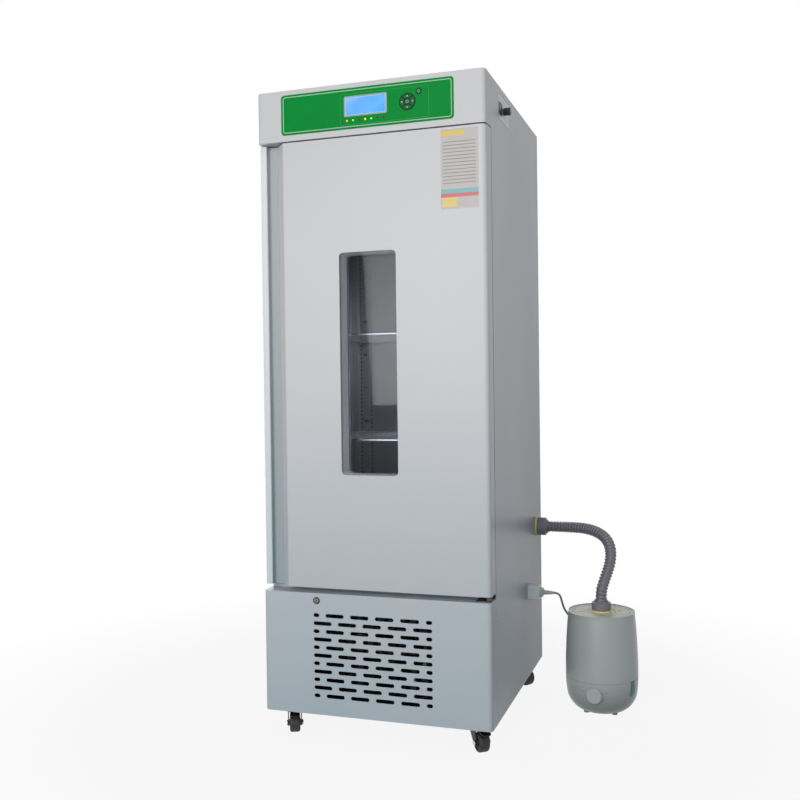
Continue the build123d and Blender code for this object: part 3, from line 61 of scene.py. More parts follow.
def soft_lamp(name, place, target, size, power, colour):
    """A square area lamp at a place, turned to a target."""
    data = bpy.data.lights.new(name, "AREA")
    data.size = size
    data.energy = power
    data.color = colour
    lamp = bpy.data.objects.new(name, data)
    bpy.context.scene.collection.objects.link(lamp)
    lamp.location = place
    lamp.rotation_euler = (Vector(target) - Vector(place)).to_track_quat("-Z", "Y").to_euler()


soft_lamp("window_lamp", (-0.5, -5.2, 2.05), (0, -0.35, 1.0), 2.6, 150, (1.0, 0.99, 0.98))
soft_lamp("side_lamp", (1.6, -1.2, 2.9), (0.31, 0, 1.3), 0.9, 7.5, (1.0, 0.98, 0.97))
soft_lamp("rear_lamp", (-1.6, 4.8, 2.0), (0, 0.35, 0.9), 2.6, 75, (0.98, 0.99, 1.0))
soft_lamp("chamber_lamp", (0.04, -0.23, 1.10), (0, 0.2, 0.95), 0.30, 0.20, (0.95, 0.97, 1.0))


class Signal:
    """A socket in a finish. Sums, products and comparisons of signals add their Math nodes."""

    def __init__(self, finish, socket):
        self.finish = finish
        self.socket = socket

    def maths(self, operation, *values):
        return self.finish.node("Math", {"operation": operation}, dict(enumerate(values)))

    def __add__(self, other):
        return self.maths("ADD", self, other)

    def __radd__(self, other):
        return self.maths("ADD", other, self)

    def __sub__(self, other):
        return self.maths("SUBTRACT", self, other)

    def __rsub__(self, other):
        return self.maths("SUBTRACT", other, self)

    def __mul__(self, other):
        return self.maths("MULTIPLY", self, other)

    def __rmul__(self, other):
        return self.maths("MULTIPLY", other, self)

    def __truediv__(self, other):
        return self.maths("DIVIDE", self, other)

    def __lt__(self, other):
        return self.maths("LESS_THAN", self, other)

    def __gt__(self, other):
        return self.maths("GREATER_THAN", self, other)

    def __abs__(self):
        return self.maths("ABSOLUTE", self)

    def root(self):
        return self.maths("SQRT", self)

    def larger(self, other):
        return self.maths("MAXIMUM", self, other)

    def smaller(self, other):
        return self.maths("MINIMUM", self, other)

    def step(self, floor_painted_shade, high):
        """Rises smoothly from 0 at low to 1 at high."""
        settings = {"interpolation_type": "SMOOTHSTEP"}
        return self.finish.node("MapRange", settings, {"Value": self, "From Min": floor_painted_shade,
                                                       "From Max": high})


class Finish:
    """A procedural material. Its fixed values are set on the shader's own sockets."""

    def __init__(self, name, fixed):
        self.material = bpy.data.materials.new(name)
        self.material.use_nodes = True
        self.tree = self.material.node_tree
        self.shader = self.tree.nodes["Principled BSDF"]
        for socket, value in fixed.items():
            self.shader.inputs[socket].default_value = value

    def node(self, kind, settings, sockets, out=0):
        node = self.tree.nodes.new("ShaderNode" + kind)
        for name, value in settings.items():
            if name == "stops":
                ramp = node.color_ramp.elements
                while len(ramp) < len(value):
                    ramp.new(1.0)
                for element, (position, colour) in zip(ramp, value):
                    element.position = position
                    element.color = (*colour, 1)
            else:
                setattr(node, name, value)
        for key, value in sockets.items():
            if isinstance(value, Signal):
                self.tree.links.new(value.socket, node.inputs[key])
            else:
                node.inputs[key].default_value = value
        return Signal(self, node.outputs[out])

    def feed(self, socket, signal):
        self.tree.links.new(signal.socket, self.shader.inputs[socket])


def mixed(factor, dark, light):
    """Colour between two colours, either of which may be a signal."""
    ends = [c if isinstance(c, Signal) else (*c, 1) for c in (dark, light)]
    return factor.finish.node("Mix", {"data_type": "RGBA"}, {0: factor, 6: ends[0], 7: ends[1]}, 2)


floor_finish = Finish("studio_floor", {"Roughness": 0.9, "Specular IOR Level": 0.0})
floor_finish.shader.inputs["Base Color"].default_value = (0.40, 0.41, 0.42, 1)
rays = [floor_finish.node("LightPath", {}, {}, name)
        for name in ("Is Camera Ray", "Is Glossy Ray", "Is Transmission Ray")]
seen = rays[0].larger(rays[1]).larger(rays[2])
here = floor_finish.node("TexCoord", {}, {}, "Object")
away = floor_finish.node("VectorMath", {"operation": "LENGTH"}, {0: here}, "Value")
white = floor_finish.node("Emission", {}, {"Color": (1, 1, 1, 1), "Strength": 1.0})
fade = seen * (0.90 + 0.10 * away.step(0.7, 1.8))
shaded = floor_finish.node("MixShader", {}, {0: fade, 2: white})
floor_finish.tree.links.new(floor_finish.shader.outputs[0], shaded.socket.node.inputs[1])
floor_finish.tree.links.new(shaded.socket, floor_finish.tree.nodes["Material Output"].inputs[0])
bpy.ops.object.select_all(action="DESELECT")
bpy.ops.mesh.primitive_circle_add(vertices=96, radius=16, fill_type="NGON")
studio_floor = bpy.context.object
studio_floor.name = "studio_floor"
studio_floor.data.materials.append(floor_finish.material)

world = bpy.data.worlds.new("studio_world")
bpy.context.scene.world = world
world.use_nodes = True
sky = world.node_tree
background = sky.nodes["Background"]
path = sky.nodes.new("ShaderNodeLightPath")
direct = sky.nodes.new("ShaderNodeMath")
direct.operation = "MAXIMUM"
sky.links.new(path.outputs["Is Camera Ray"], direct.inputs[0])
sky.links.new(path.outputs["Is Glossy Ray"], direct.inputs[1])
through = sky.nodes.new("ShaderNodeMath")
through.operation = "MAXIMUM"
sky.links.new(direct.outputs[0], through.inputs[0])
sky.links.new(path.outputs["Is Transmission Ray"], through.inputs[1])
tint = sky.nodes.new("ShaderNodeMix")
tint.data_type = "RGBA"
tint.inputs[6].default_value = (0.24, 0.25, 0.27, 1)
tint.inputs[7].default_value = (1, 1, 1, 1)
sky.links.new(through.outputs[0], tint.inputs[0])
sky.links.new(tint.outputs[2], background.inputs["Color"])
background.inputs["Strength"].default_value = 1.0


# Humidifier cord
# A round grey two-core lead, 6 mm thick. It leaves the back of the humidifier's base, is put
# away in a flat coil behind it, and climbs to the plug in the cabinet's side socket. Its points
# are millimetres from the cabinet's right rear edge.

CORD_RADIUS = 0.003
CORD_REST = 3
COIL_TURNS = 5.5
COIL_CENTRE = (182, -45)
COIL_RADIUS = 39
COIL_PITCH = 6.3
COIL_LAYER = 6
POINTS_A_TURN = 20


def drift(finish, scale, detail, stretch=(1, 1, 1)):
    """Noise on the piece's own coordinates, stretched along an axis if asked."""
    place = finish.node("TexCoord", {}, {}, "Object")
    place = finish.node("Mapping", {}, {"Vector": place, "Scale": stretch})
    return finish.node("TexNoise", {}, {"Vector": place, "Scale": scale, "Detail": detail})


def grain(finish, height, depth):
    """Feeds a bump of a given depth in metres to the shader."""
    bump = finish.node("Bump", {}, {"Height": height, "Strength": 1.0, "Distance": depth})
    finish.feed("Normal", bump)


def moulded(name, colour, roughness, scale=900.0, depth=0.00004, fixed=()):
    """Moulded plastic or rubber: fine grain, faint mottling and rubbed patches."""
    finish = Finish(name, {"Roughness": roughness, **dict(fixed)})
    mottle = drift(finish, 9.0, 4.0)
    dark = tuple(0.86 * c for c in colour)
    light = tuple(min(1.0, 1.08 * c) for c in colour)
    finish.feed("Base Color", mixed(mottle, dark, light))
    rubbed = drift(finish, 31.0, 3.0)
    finish.feed("Roughness", rubbed * 0.16 + (roughness - 0.08))
    grain(finish, drift(finish, scale, 2.0), depth)
    return finish


def dress(finish, *names):
    """Gives CAD nodes a finish."""
    for name in names:
        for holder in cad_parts[name].material_slots:
            holder.material = finish.material


cord_rubber = moulded("grey_cord_rubber", (0.17, 0.18, 0.20), 0.5, 1400.0, 0.00002)
EDGE = (310, 350)
lead = [(213, -134, 20), (213, -122.6, 20), (215, -107.8, 15.6), (219, -95.2, 7.4),
        (221, -80.4, 3), (221, -69, 3)]
drop = [(74, -207.5, 318), (83, -207.5, 318), (91.5, -206.5, 311), (95.5, -202, 294),
        (99, -193, 273), (107, -179, 254), (117, -162, 234), (126, -145, 206), (131, -133, 176),
        (135, -124, 144), (138, -117, 112), (140, -112, 80), (141.2, -109, 53),
        (141.7, -107.8, 31.5), (142.3, -102.7, 17.8), (142.8, -93.3, 8.1), (143, -81, 3),
        (143, -69, 3)]
coil = []
steps = round(COIL_TURNS * POINTS_A_TURN)
for i in range(steps + 1):
    turn = i / POINTS_A_TURN
    wound = abs(turn - COIL_TURNS / 2)
    radius = COIL_RADIUS - COIL_PITCH * (COIL_TURNS / 2 - wound)
    rise = COIL_LAYER * min(1.0, max(0.0, (turn - COIL_TURNS / 2) * 3 + 0.5))
    fall = COIL_LAYER * max(0.0, (turn - COIL_TURNS + 0.2) / 0.2) ** 2
    angle = tau * turn
    coil.append((COIL_CENTRE[0] + radius * cos(angle), COIL_CENTRE[1] + radius * sin(angle),
                 CORD_REST + rise - fall))
line = bpy.data.curves.new("humidifier_cord", "CURVE")
line.dimensions = "3D"
line.bevel_depth = CORD_RADIUS
line.bevel_resolution = 3
line.resolution_u = 5
line.use_fill_caps = True
route = line.splines.new("NURBS")
stations = lead + coil + drop[::-1]
route.points.add(len(stations) - 1)
for point, (x, y, z) in zip(route.points, stations):
    point.co = ((EDGE[0] + x) / 1000, (EDGE[1] + y) / 1000, z / 1000, 1)
route.order_u = 3
route.use_endpoint_u = True
cord = bpy.data.objects.new("humidifier_cord", line)
bpy.context.scene.collection.objects.link(cord)
line.materials.append(cord_rubber.material)
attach(cord, "cabinet")
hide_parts("power_cord", "cord_coil")


# Hose
# Grey corrugated hose of 33 mm outer diameter. A spiral rib at about 10 mm pitch stiffens it,
# and its ends are pushed into the two cuffs.

HOSE_RADIUS = 0.0165
RIB_PITCH = 0.0098
RIB_DEPTH = 0.0021
HOSE_SIDES = 40
HOSE_RINGS = 460
PLAIN_END = 0.006
hose_route = [(35, -73.3, 492.6), (72, -73.3, 492.6), (114, -88, 494.5), (152, -105, 495.5),
              (184, -124, 491), (210, -143, 481), (228, -162, 464), (236, -181, 440),
              (235, -198, 411), (226, -214, 381), (217, -229, 353), (213, -236, 333),
              (213, -236, 311)]
guide = bpy.data.curves.new("hose_guide", "CURVE")
guide.dimensions = "3D"
guide.resolution_u = 40
bend = guide.splines.new("NURBS")
bend.points.add(len(hose_route) - 1)
for point, (x, y, z) in zip(bend.points, hose_route):
    point.co = ((EDGE[0] + x) / 1000, (EDGE[1] + y) / 1000, z / 1000, 1)
bend.order_u = 3
bend.use_endpoint_u = True
guide_object = bpy.data.objects.new("hose_guide", guide)
bpy.context.scene.collection.objects.link(guide_object)
guide_line = bpy.data.meshes.new_from_object(guide_object)
centres = [v.co.copy() for v in guide_line.vertices]
bpy.data.objects.remove(guide_object)
travelled = [0.0]
for before, after in zip(centres, centres[1:]):
    travelled.append(travelled[-1] + (after - before).length)
hose_length = travelled[-1]


def along(distance):
    """Point and direction on the hose's centreline at a distance from its start."""
    for k in range(len(centres) - 1):
        if travelled[k + 1] >= distance or k == len(centres) - 2:
            span = travelled[k + 1] - travelled[k]
            share = (distance - travelled[k]) / span
            ahead = (centres[k + 1] - centres[k]).normalized()
            return centres[k].lerp(centres[k + 1], share), ahead


spin_axis = Vector((0, 0, 1))
corners, faces = [], []
for ring in range(HOSE_RINGS + 1):
    distance = hose_length * ring / HOSE_RINGS
    centre, ahead = along(distance)
    spin_axis = (spin_axis - ahead * spin_axis.dot(ahead)).normalized()
    other = ahead.cross(spin_axis)
    ends = min(1.0, distance / PLAIN_END, (hose_length - distance) / PLAIN_END)
    for side in range(HOSE_SIDES):
        angle = tau * side / HOSE_SIDES
        phase = distance / RIB_PITCH + side / HOSE_SIDES
        rib = (0.5 + 0.5 * cos(tau * phase)) ** 1.6
        reach = HOSE_RADIUS - RIB_DEPTH * (1 - rib) * ends
        corners.append(centre + reach * (cos(angle) * spin_axis + sin(angle) * other))
for ring in range(HOSE_RINGS):
    for side in range(HOSE_SIDES):
        a = ring * HOSE_SIDES + side
        b = ring * HOSE_SIDES + (side + 1) % HOSE_SIDES
        faces.append((a, b, b + HOSE_SIDES, a + HOSE_SIDES))
faces.append(tuple(range(HOSE_SIDES - 1, -1, -1)))
faces.append(tuple(HOSE_RINGS * HOSE_SIDES + side for side in range(HOSE_SIDES)))
hose_mesh = bpy.data.meshes.new("mist_hose")
hose_mesh.from_pydata(corners, [], faces)
hose_mesh.update()
for face in hose_mesh.polygons:
    face.use_smooth = True
mist_hose = bpy.data.objects.new("mist_hose", hose_mesh)
bpy.context.scene.collection.objects.link(mist_hose)
hose_plastic = moulded("grey_hose_plastic", (0.165, 0.165, 0.19), 0.40, 700.0, 0.00003)
hose_mesh.materials.append(hose_plastic.material)
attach(mist_hose, "cabinet")
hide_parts("hose")


# Cuffs and seals
# Push-on cuffs at the port and at the mist spout, in the hose's grey, each on a soft yellow
# ring that has squeezed out a little under it.

cuff_plastic = moulded("grey_cuff_plastic", (0.19, 0.19, 0.215), 0.5)
dress(cuff_plastic, "hose_fittings")
seal_rubber = moulded("yellow_seal", (0.80, 0.73, 0.22), 0.55, 300.0, 0.0003)
dress(seal_rubber, "seal_rings")


# Plug and strain reliefs
# A moulded two-pin plug with a ribbed, tapered relief, and a short tapered sleeve where the cord
# enters the humidifier's base.

plug_plastic = moulded("grey_plug_plastic", (0.50, 0.51, 0.52), 0.45)
dress(plug_plastic, "plug")


def settle(piece, name, finish, body):
    """Applies a new piece's place to its mesh, then names, dresses and hangs it on a body."""
    piece.name = name
    piece.data.name = name
    bpy.ops.object.select_all(action="DESELECT")
    piece.select_set(True)
    bpy.context.view_layer.objects.active = piece
    bpy.ops.object.transform_apply(location=True, rotation=True, scale=True)
    piece.data.materials.clear()
    piece.data.materials.append(finish.material)
    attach(piece, body)
    return piece


def rounded_off(piece, width, segments=2):
    """Bevels every sharp edge of a new piece and applies the modifier."""
    bevel = piece.modifiers.new("edge", "BEVEL")
    bevel.width = width
    bevel.segments = segments
    bevel.limit_method = "ANGLE"
    bpy.ops.object.select_all(action="DESELECT")
    piece.select_set(True)
    bpy.context.view_layer.objects.active = piece
    bpy.ops.object.modifier_apply(modifier=bevel.name)
    bpy.ops.object.shade_smooth_by_angle(angle=radians(35))
    return piece


bpy.ops.object.select_all(action="DESELECT")
bpy.ops.mesh.primitive_cone_add(
    vertices=32, radius1=0.0056, radius2=0.0038, depth=0.013, location=(0.523, 0.2205, 0.020),
    rotation=(radians(-90), 0, 0))
inlet_sleeve = rounded_off(bpy.context.object, 0.0006)
settle(inlet_sleeve, "inlet_sleeve", cord_rubber, "cabinet")


# Cabinet and base sheet metal
# Powder-coated steel in a cool off-white: a semi-gloss skin with a faint orange peel. Its colour
# holds painted shade: greyer and bluer near the floor, a little darker high up, and darker down
# the lower rear of the right side.

COAT = (0.70, 0.705, 0.715)


def powder_coat(name, colour, roughness):
    """Powder coat with a fine orange peel, a slow drift in tone, slight wiping marks and painted
    shade.
    """
    finish = Finish(name, {"Specular IOR Level": 0.16})
    place = finish.node("TexCoord", {}, {}, "Object")
    height = finish.node("SeparateXYZ", {}, {"Vector": place}, "Z")
    # Painted shade: the coat turns greyer and bluer towards the floor.
    floor_painted_shade = tuple(c * k for c, k in zip(colour, (0.60, 0.72, 0.79)))
    graded = mixed(height.step(-0.1, 1.15), floor_painted_shade, colour)
    # Painted shade: the coat is a little darker high up, near the header.
    top_painted_shade = tuple(0.92 * c for c in colour)
    graded = mixed(height.step(1.25, 1.70), graded, top_painted_shade)
    side = finish.node("SeparateXYZ", {}, {"Vector": place}, "X")
    depth = finish.node("SeparateXYZ", {}, {"Vector": place}, "Y")
    # Painted shadow: the right side wall darkens towards its lower rear.
    shaded = tuple(c * k for c, k in zip(colour, (0.42, 0.43, 0.44)))
    shadow = side.step(0.3085, 0.3095) * depth.step(-0.36, 0.40) * (1 - height.step(0.0, 1.9))
    graded = mixed(shadow, graded, shaded)
    slow = drift(finish, 2.3, 3.0)
    dusty = tuple(c * k for c, k in zip(colour, (0.93, 0.93, 0.92)))
    finish.feed("Base Color", mixed((slow - 0.35) * 0.5, graded, dusty))
    wiped = drift(finish, 5.0, 5.0, (1, 1, 0.35))
    finish.feed("Roughness", wiped * 0.14 + (roughness - 0.07))
    grain(finish, drift(finish, 420.0, 2.0), 0.00005)
    return finish


cabinet_coat = powder_coat("cabinet_powder_coat", COAT, 0.38)
dress(cabinet_coat, "outer_shell", "back_panel", "base_front_panel")


# Door
# A steel tray in the cabinet's powder coat, filled with foam, with an extruded grip strip down
# its free edge. The inner face is the same steel behind a soft magnetic seal.

door_coat = powder_coat("door_powder_coat", COAT, 0.33)
dress(door_coat, "door_outer_skin", "door_inner_skin")
grip_coat = powder_coat("grip_powder_coat", COAT, 0.38)
place = grip_coat.node("TexCoord", {}, {}, "Object")
height = grip_coat.node("SeparateXYZ", {}, {"Vector": place}, "Z").step(0.2, 1.3)
depth = grip_coat.node("SeparateXYZ", {}, {"Vector": place}, "Y")
# Painted light and shade: the grip's nose is painted lighter and its channel darker, and both
# darker and bluer towards the floor.
painted_light_nose = mixed(height, (0.66, 0.76, 0.80), (0.86, 0.87, 0.88))
painted_shade_channel = mixed(height, (0.34, 0.41, 0.45), (0.46, 0.49, 0.50))
grip_tone = mixed(depth.step(-0.3325, -0.3290), painted_light_nose, painted_shade_channel)
grip_coat.feed("Base Color", mixed(drift(grip_coat, 4.0, 4.0) * 0.15, grip_tone, (0.5, 0.5, 0.5)))
dress(grip_coat, "grip_profile")
gasket_rubber = moulded("pale_gasket_rubber", (0.42, 0.43, 0.45), 0.6, 500.0, 0.00008)
dress(gasket_rubber, "door_gasket")
frame_plastic = moulded("white_frame_plastic", (0.70, 0.70, 0.70), 0.4)
dress(frame_plastic, "window_frame", "breaker_frame")


# Foam
# Poured polyurethane foam, a dull straw colour with open cells where it is cut. It fills the
# walls and the door and shows only at cut edges.

foam = Finish("straw_foam", {"Roughness": 0.95, "Specular IOR Level": 0.1})
cells = foam.node("TexVoronoi", {}, {"Vector": foam.node("TexCoord", {}, {}, "Object"),
                                     "Scale": 420.0})
foam.feed("Base Color", mixed(cells, (0.45, 0.36, 0.17), (0.72, 0.63, 0.40)))
grain(foam, cells, 0.0008)
dress(foam, "cabinet_foam", "door_foam")


# Window panes
# Two panes of clear float glass in a sealed frame, faintly green, with the thinnest film of
# wiping marks.

pane_glass = Finish("clear_float_glass", {"Transmission Weight": 1.0, "IOR": 1.16,
                                          "Roughness": 0.0})
streaks = drift(pane_glass, 6.0, 4.0, (1, 1, 0.3))
pane_glass.feed("Base Color", mixed(streaks, (0.85, 0.87, 0.92), (0.93, 0.94, 0.97)))
dress(pane_glass, "window_panes")


# Chamber steel
# Stainless steel with a fine vertical brush: the pressed liner, the duct panel with its slots,
# the shelf rails, and the welded wire shelves, which are polished.

liner_steel = Finish("brushed_liner_steel", {"Metallic": 1.0})
brushed = drift(liner_steel, 60.0, 5.0, (30, 30, 0.6))
cloudy = drift(liner_steel, 3.0, 3.0)
liner_steel.feed("Base Color", mixed(cloudy, (0.36, 0.37, 0.38), (0.55, 0.56, 0.57)))
liner_steel.feed("Roughness", brushed * 0.22 + 0.22)
grain(liner_steel, brushed, 0.00003)
dress(liner_steel, "inner_liner", "shelf_rails")
duct_steel = Finish("perforated_duct_steel", {"Metallic": 0.9})
spot = duct_steel.node("TexCoord", {}, {}, "Object")
across = duct_steel.node("SeparateXYZ", {}, {"Vector": spot}, "X")
upward = duct_steel.node("SeparateXYZ", {}, {"Vector": spot}, "Z")
pitch = upward / 0.013
centred = pitch - pitch.maths("FLOOR", pitch) - 0.5
drops = centred * 0.013
column = (abs(across) - 0.222)
ring_left = ((column + 0.017) * (column + 0.017) + drops * drops).root()
ring_right = ((column - 0.017) * (column - 0.017) + drops * drops).root()
# Painted shade: the duct panel's round holes are painted near-black for the dark behind them.
painted_dark_holes = ring_left.smaller(ring_right).step(0.0028, 0.0022)
sheen = drift(duct_steel, 60.0, 5.0, (30, 30, 0.6))
duct_steel.feed("Base Color", mixed(painted_dark_holes, mixed(sheen, (0.36, 0.37, 0.38), (0.5, 0.51, 0.52)),
                                    (0.01, 0.01, 0.01)))
duct_steel.feed("Roughness", sheen * 0.2 + 0.25)
grain(duct_steel, 1 - painted_dark_holes, 0.0006)
dress(duct_steel, "duct_panel")
wire_steel = Finish("polished_wire_steel", {"Metallic": 1.0})
wire_steel.feed("Base Color", mixed(drift(wire_steel, 40.0, 3.0), (0.60, 0.62, 0.63),
                                    (0.80, 0.82, 0.83)))
wire_steel.feed("Roughness", drift(wire_steel, 90.0, 3.0) * 0.2 + 0.12)
dress(wire_steel, "shelf_upper", "shelf_lower")


# Machine room
# Galvanised tray and shroud, a black enamelled compressor, and finned coils of aluminium on
# copper tube, all behind the slotted front. The tray, shroud and fins are painted near-black,
# painted shade for the dark room they stand in.

# Painted shade: the tray and shroud are painted near-black for the dark they stand in.
galvanised = Finish("galvanised_sheet_painted_dark", {"Metallic": 0.85})
flakes = galvanised.node("TexVoronoi", {}, {"Vector": galvanised.node("TexCoord", {}, {}, "Object"),
                                            "Scale": 90.0}, "Color")
flake = galvanised.node("SeparateColor", {}, {"Color": flakes}, "Red")
galvanised.feed("Base Color", mixed(flake, (0.05, 0.05, 0.052), (0.09, 0.092, 0.095)))
galvanised.feed("Roughness", flake * 0.2 + 0.35)
dress(galvanised, "base_chassis", "fan_shroud")
enamel = moulded("black_enamel", (0.02, 0.02, 0.022), 0.3, 240.0, 0.0001)
dress(enamel, "compressor")
shaded_fin_metal = Finish("aluminium_fins_painted_dark", {"Metallic": 0.6, "Specular IOR Level": 0.2})
fins = shaded_fin_metal.node("TexWave", {"wave_type": "BANDS", "bands_direction": "X"},
                      {"Vector": shaded_fin_metal.node("TexCoord", {}, {}, "Object"), "Scale": 140.0,
                       "Distortion": 0.4})
# Painted shade: the fins are painted near-black for the dark behind the slots.
shaded_fin_metal.feed("Base Color", mixed(fins, (0.018, 0.018, 0.018), (0.06, 0.06, 0.06)))
shaded_fin_metal.feed("Roughness", fins * 0.2 + 0.3)
dress(shaded_fin_metal, "condenser", "air_handler")
fan_plastic = moulded("black_fan_plastic", (0.022, 0.022, 0.024), 0.5)
dress(fan_plastic, "condenser_fan", "circulation_fan")


# Door lock
# A cam lock in the base panel: a dark bevelled collar round a worn nickel barrel.

nickel = Finish("worn_nickel", {"Metallic": 1.0})
nickel.feed("Base Color", mixed(drift(nickel, 120.0, 4.0), (0.08, 0.10, 0.10), (0.30, 0.33, 0.33)))
nickel.feed("Roughness", drift(nickel, 260.0, 3.0) * 0.2 + 0.2)
grain(nickel, drift(nickel, 900.0, 2.0), 0.00003)
dress(nickel, "lock_barrel")
aged = Finish("aged_lock_collar", {"Metallic": 0.2})
aged.feed("Base Color", mixed(drift(aged, 120.0, 4.0), (0.015, 0.020, 0.020), (0.04, 0.05, 0.05)))
aged.feed("Roughness", drift(aged, 260.0, 3.0) * 0.2 + 0.25)
dress(aged, "lock_housing")


# Hinges
# Folded steel brackets with shouldered pins at the top and bottom of the door's right edge. Their
# dark tone is painted shade, for the door's shadow over them.

hinge_steel_painted_shade = Finish("hinge_steel_in_painted_shade", {"Metallic": 0.8})
# Painted shade: the brackets are darkened for the shadow of the door above them.
hinge_steel_painted_shade.feed("Base Color", mixed(drift(hinge_steel_painted_shade, 60.0, 4.0), (0.05, 0.05, 0.055),
                                    (0.12, 0.115, 0.11)))
hinge_steel_painted_shade.feed("Roughness", drift(hinge_steel_painted_shade, 150.0, 3.0) * 0.25 + 0.3)
grain(hinge_steel_painted_shade, drift(hinge_steel_painted_shade, 700.0, 2.0), 0.00004)
dress(hinge_steel_painted_shade, "hinge_brackets")


# Control panel
# A printed membrane film: green ground, a pale keyline round the edge, a finer line round the
# working part, a dark key field, and clear print round the display and the lamps.

PANEL = (-0.005, 1.6425, 0.469, 0.105)
WORKING = (0.04625, 1.64025, 0.2375, 0.0785)
DISPLAY = (-0.004, 1.6478, 0.110, 0.0455)
PAD = (0.1087, 1.6439)
ESCAPE = (0.1392, 1.6671)
LAMP_Z = 1.6116
LAMP_X = -0.0543
LAMP_PITCH = 0.0166


def front_axes(finish):
    """Distance to the right and up on the cabinet's front."""
    place = finish.node("TexCoord", {}, {}, "Object")
    return [finish.node("SeparateXYZ", {}, {"Vector": place}, axis) for axis in ("X", "Z")]


def box_edge(across, up, rectangle, inset, radius):
    """Signed distance from a rounded rectangle, drawn inside another by an inset."""
    x, z, width, height = rectangle
    dx = abs(across - x) - (width / 2 - inset - radius)
    dz = abs(up - z) - (height / 2 - inset - radius)
    outside = (dx.larger(0) * dx.larger(0) + dz.larger(0) * dz.larger(0)).root()
    return outside + dx.larger(dz).smaller(0) - radius


def disc_edge(across, up, x, z, radius):
    """Signed distance from a circle."""
    return ((across - x) * (across - x) + (up - z) * (up - z)).root() - radius


def keyline(distance, width):
    """1 on a printed line of this width, fading softly at its edges."""
    return abs(distance).step(width / 2 + 0.0002, width / 2 - 0.0002)


film = Finish("printed_green_film", {"Specular IOR Level": 0.06})
across, up = front_axes(film)
ground = mixed(drift(film, 14.0, 3.0), (0.0012, 0.245, 0.036), (0.0016, 0.300, 0.045))
edge_line = keyline(box_edge(across, up, PANEL, 0.0062, 0.006), 0.0022)
ground = mixed(edge_line * 0.8, ground, (0.52, 0.70, 0.58))
inner_line = keyline(box_edge(across, up, WORKING, 0.0, 0.002), 0.0008)
ground = mixed(inner_line * 0.55, ground, (0.10, 0.45, 0.20))
display_line = keyline(box_edge(across, up, DISPLAY, -0.0016, 0.002), 0.0034)
ground = mixed(display_line, ground, (0.40, 0.46, 0.44))
field = disc_edge(across, up, *PAD, 0.0222).step(0.0003, -0.0003)
ground = mixed(field, ground, (0.0012, 0.075, 0.018))
escape = disc_edge(across, up, *ESCAPE, 0.0082).step(0.0003, -0.0003)
ground = mixed(escape, ground, (0.0012, 0.075, 0.018))
lamp_step = (across - LAMP_X) / LAMP_PITCH + 0.5
lamp_offset = (lamp_step - lamp_step.maths("FLOOR", lamp_step) - 0.5) * LAMP_PITCH
lamp_rim = (lamp_offset * lamp_offset + (up - LAMP_Z) * (up - LAMP_Z)).root() - 0.0031
in_row = abs(across - (LAMP_X + 3 * LAMP_PITCH)).step(0.0585, 0.0575)
ground = mixed(keyline(lamp_rim, 0.0007) * in_row * 0.6, ground, (0.01, 0.12, 0.03))
film.feed("Base Color", ground)
film.feed("Roughness", drift(film, 30.0, 3.0) * 0.16 + 0.40)
grain(film, drift(film, 1600.0, 1.0), 0.00002)
dress(film, "control_overlay")


# Keys
# Domed key caps in the dark green of the key field, with a pale arrow on each of the four and
# a pale ring on the two round ones.

ARROW_TIP = 0.0168
ARROW_FOOT = 0.0124
key_cap = Finish("dark_green_keys", {"Specular IOR Level": 0.1})
across, up = front_axes(key_cap)
right = abs(across - PAD[0])
rise = abs(up - PAD[1])
outward = right.larger(rise)
sideways = right.smaller(rise)
arrow = (ARROW_TIP - outward) * 0.75 - sideways
mark = arrow.step(-0.0002, 0.0002) * outward.step(ARROW_FOOT, ARROW_FOOT + 0.0003)
rings = keyline(disc_edge(across, up, *PAD, 0.0032), 0.0009)
rings = rings.larger(keyline(disc_edge(across, up, *ESCAPE, 0.0030), 0.0009))
shade = mixed(drift(key_cap, 60.0, 2.0), (0.0014, 0.085, 0.022), (0.002, 0.12, 0.032))
key_cap.feed("Base Color", mixed(mark.larger(rings) * 0.8, shade, (0.55, 0.68, 0.60)))
key_cap.feed("Roughness", drift(key_cap, 80.0, 2.0) * 0.12 + 0.25)
dress(key_cap, "key_up", "key_down", "key_left", "key_right", "key_ok", "key_esc")


# Display and lamps
# A blue back-lit liquid crystal panel and seven small lamps on a green circuit board. Two lamps
# glow amber and orange, two green, and three are dark.

screen = Finish("display_and_lamps", {"Roughness": 0.3, "Specular IOR Level": 0.08,
                                      "Emission Strength": 1.0})
across, up = front_axes(screen)
place = screen.node("TexCoord", {}, {}, "Object")
depth = screen.node("SeparateXYZ", {}, {"Vector": place}, "Y")
in_front = depth < -0.3485
panel_edge = box_edge(across, up, DISPLAY, 0.0, 0.0005)
is_display = panel_edge.step(0.0003, 0.0) * in_front
slope = (across - DISPLAY[0]) * 6.0 + (up - DISPLAY[1]) * -9.0 + 0.5
back_light = screen.node("ValToRGB", {"stops": [
    (0.0, (0.28, 0.52, 0.95)), (0.35, (0.11, 0.40, 0.95)), (0.7, (0.13, 0.47, 0.98)),
    (1.0, (0.07, 0.36, 0.90))]}, {"Fac": slope + (drift(screen, 35.0, 2.0) - 0.5) * 0.5})
rows = screen.node("TexWave", {"wave_type": "BANDS", "bands_direction": "Z"},
                   {"Vector": place, "Scale": 260.0})
border = panel_edge.step(-0.0022, -0.0012)
glow = mixed(rows * 0.12, back_light, (0.05, 0.22, 0.62))
glow = mixed(border * 0.6, glow, (0.45, 0.62, 0.85))
lamp = ((across - LAMP_X) / LAMP_PITCH + 0.5) / 7.0
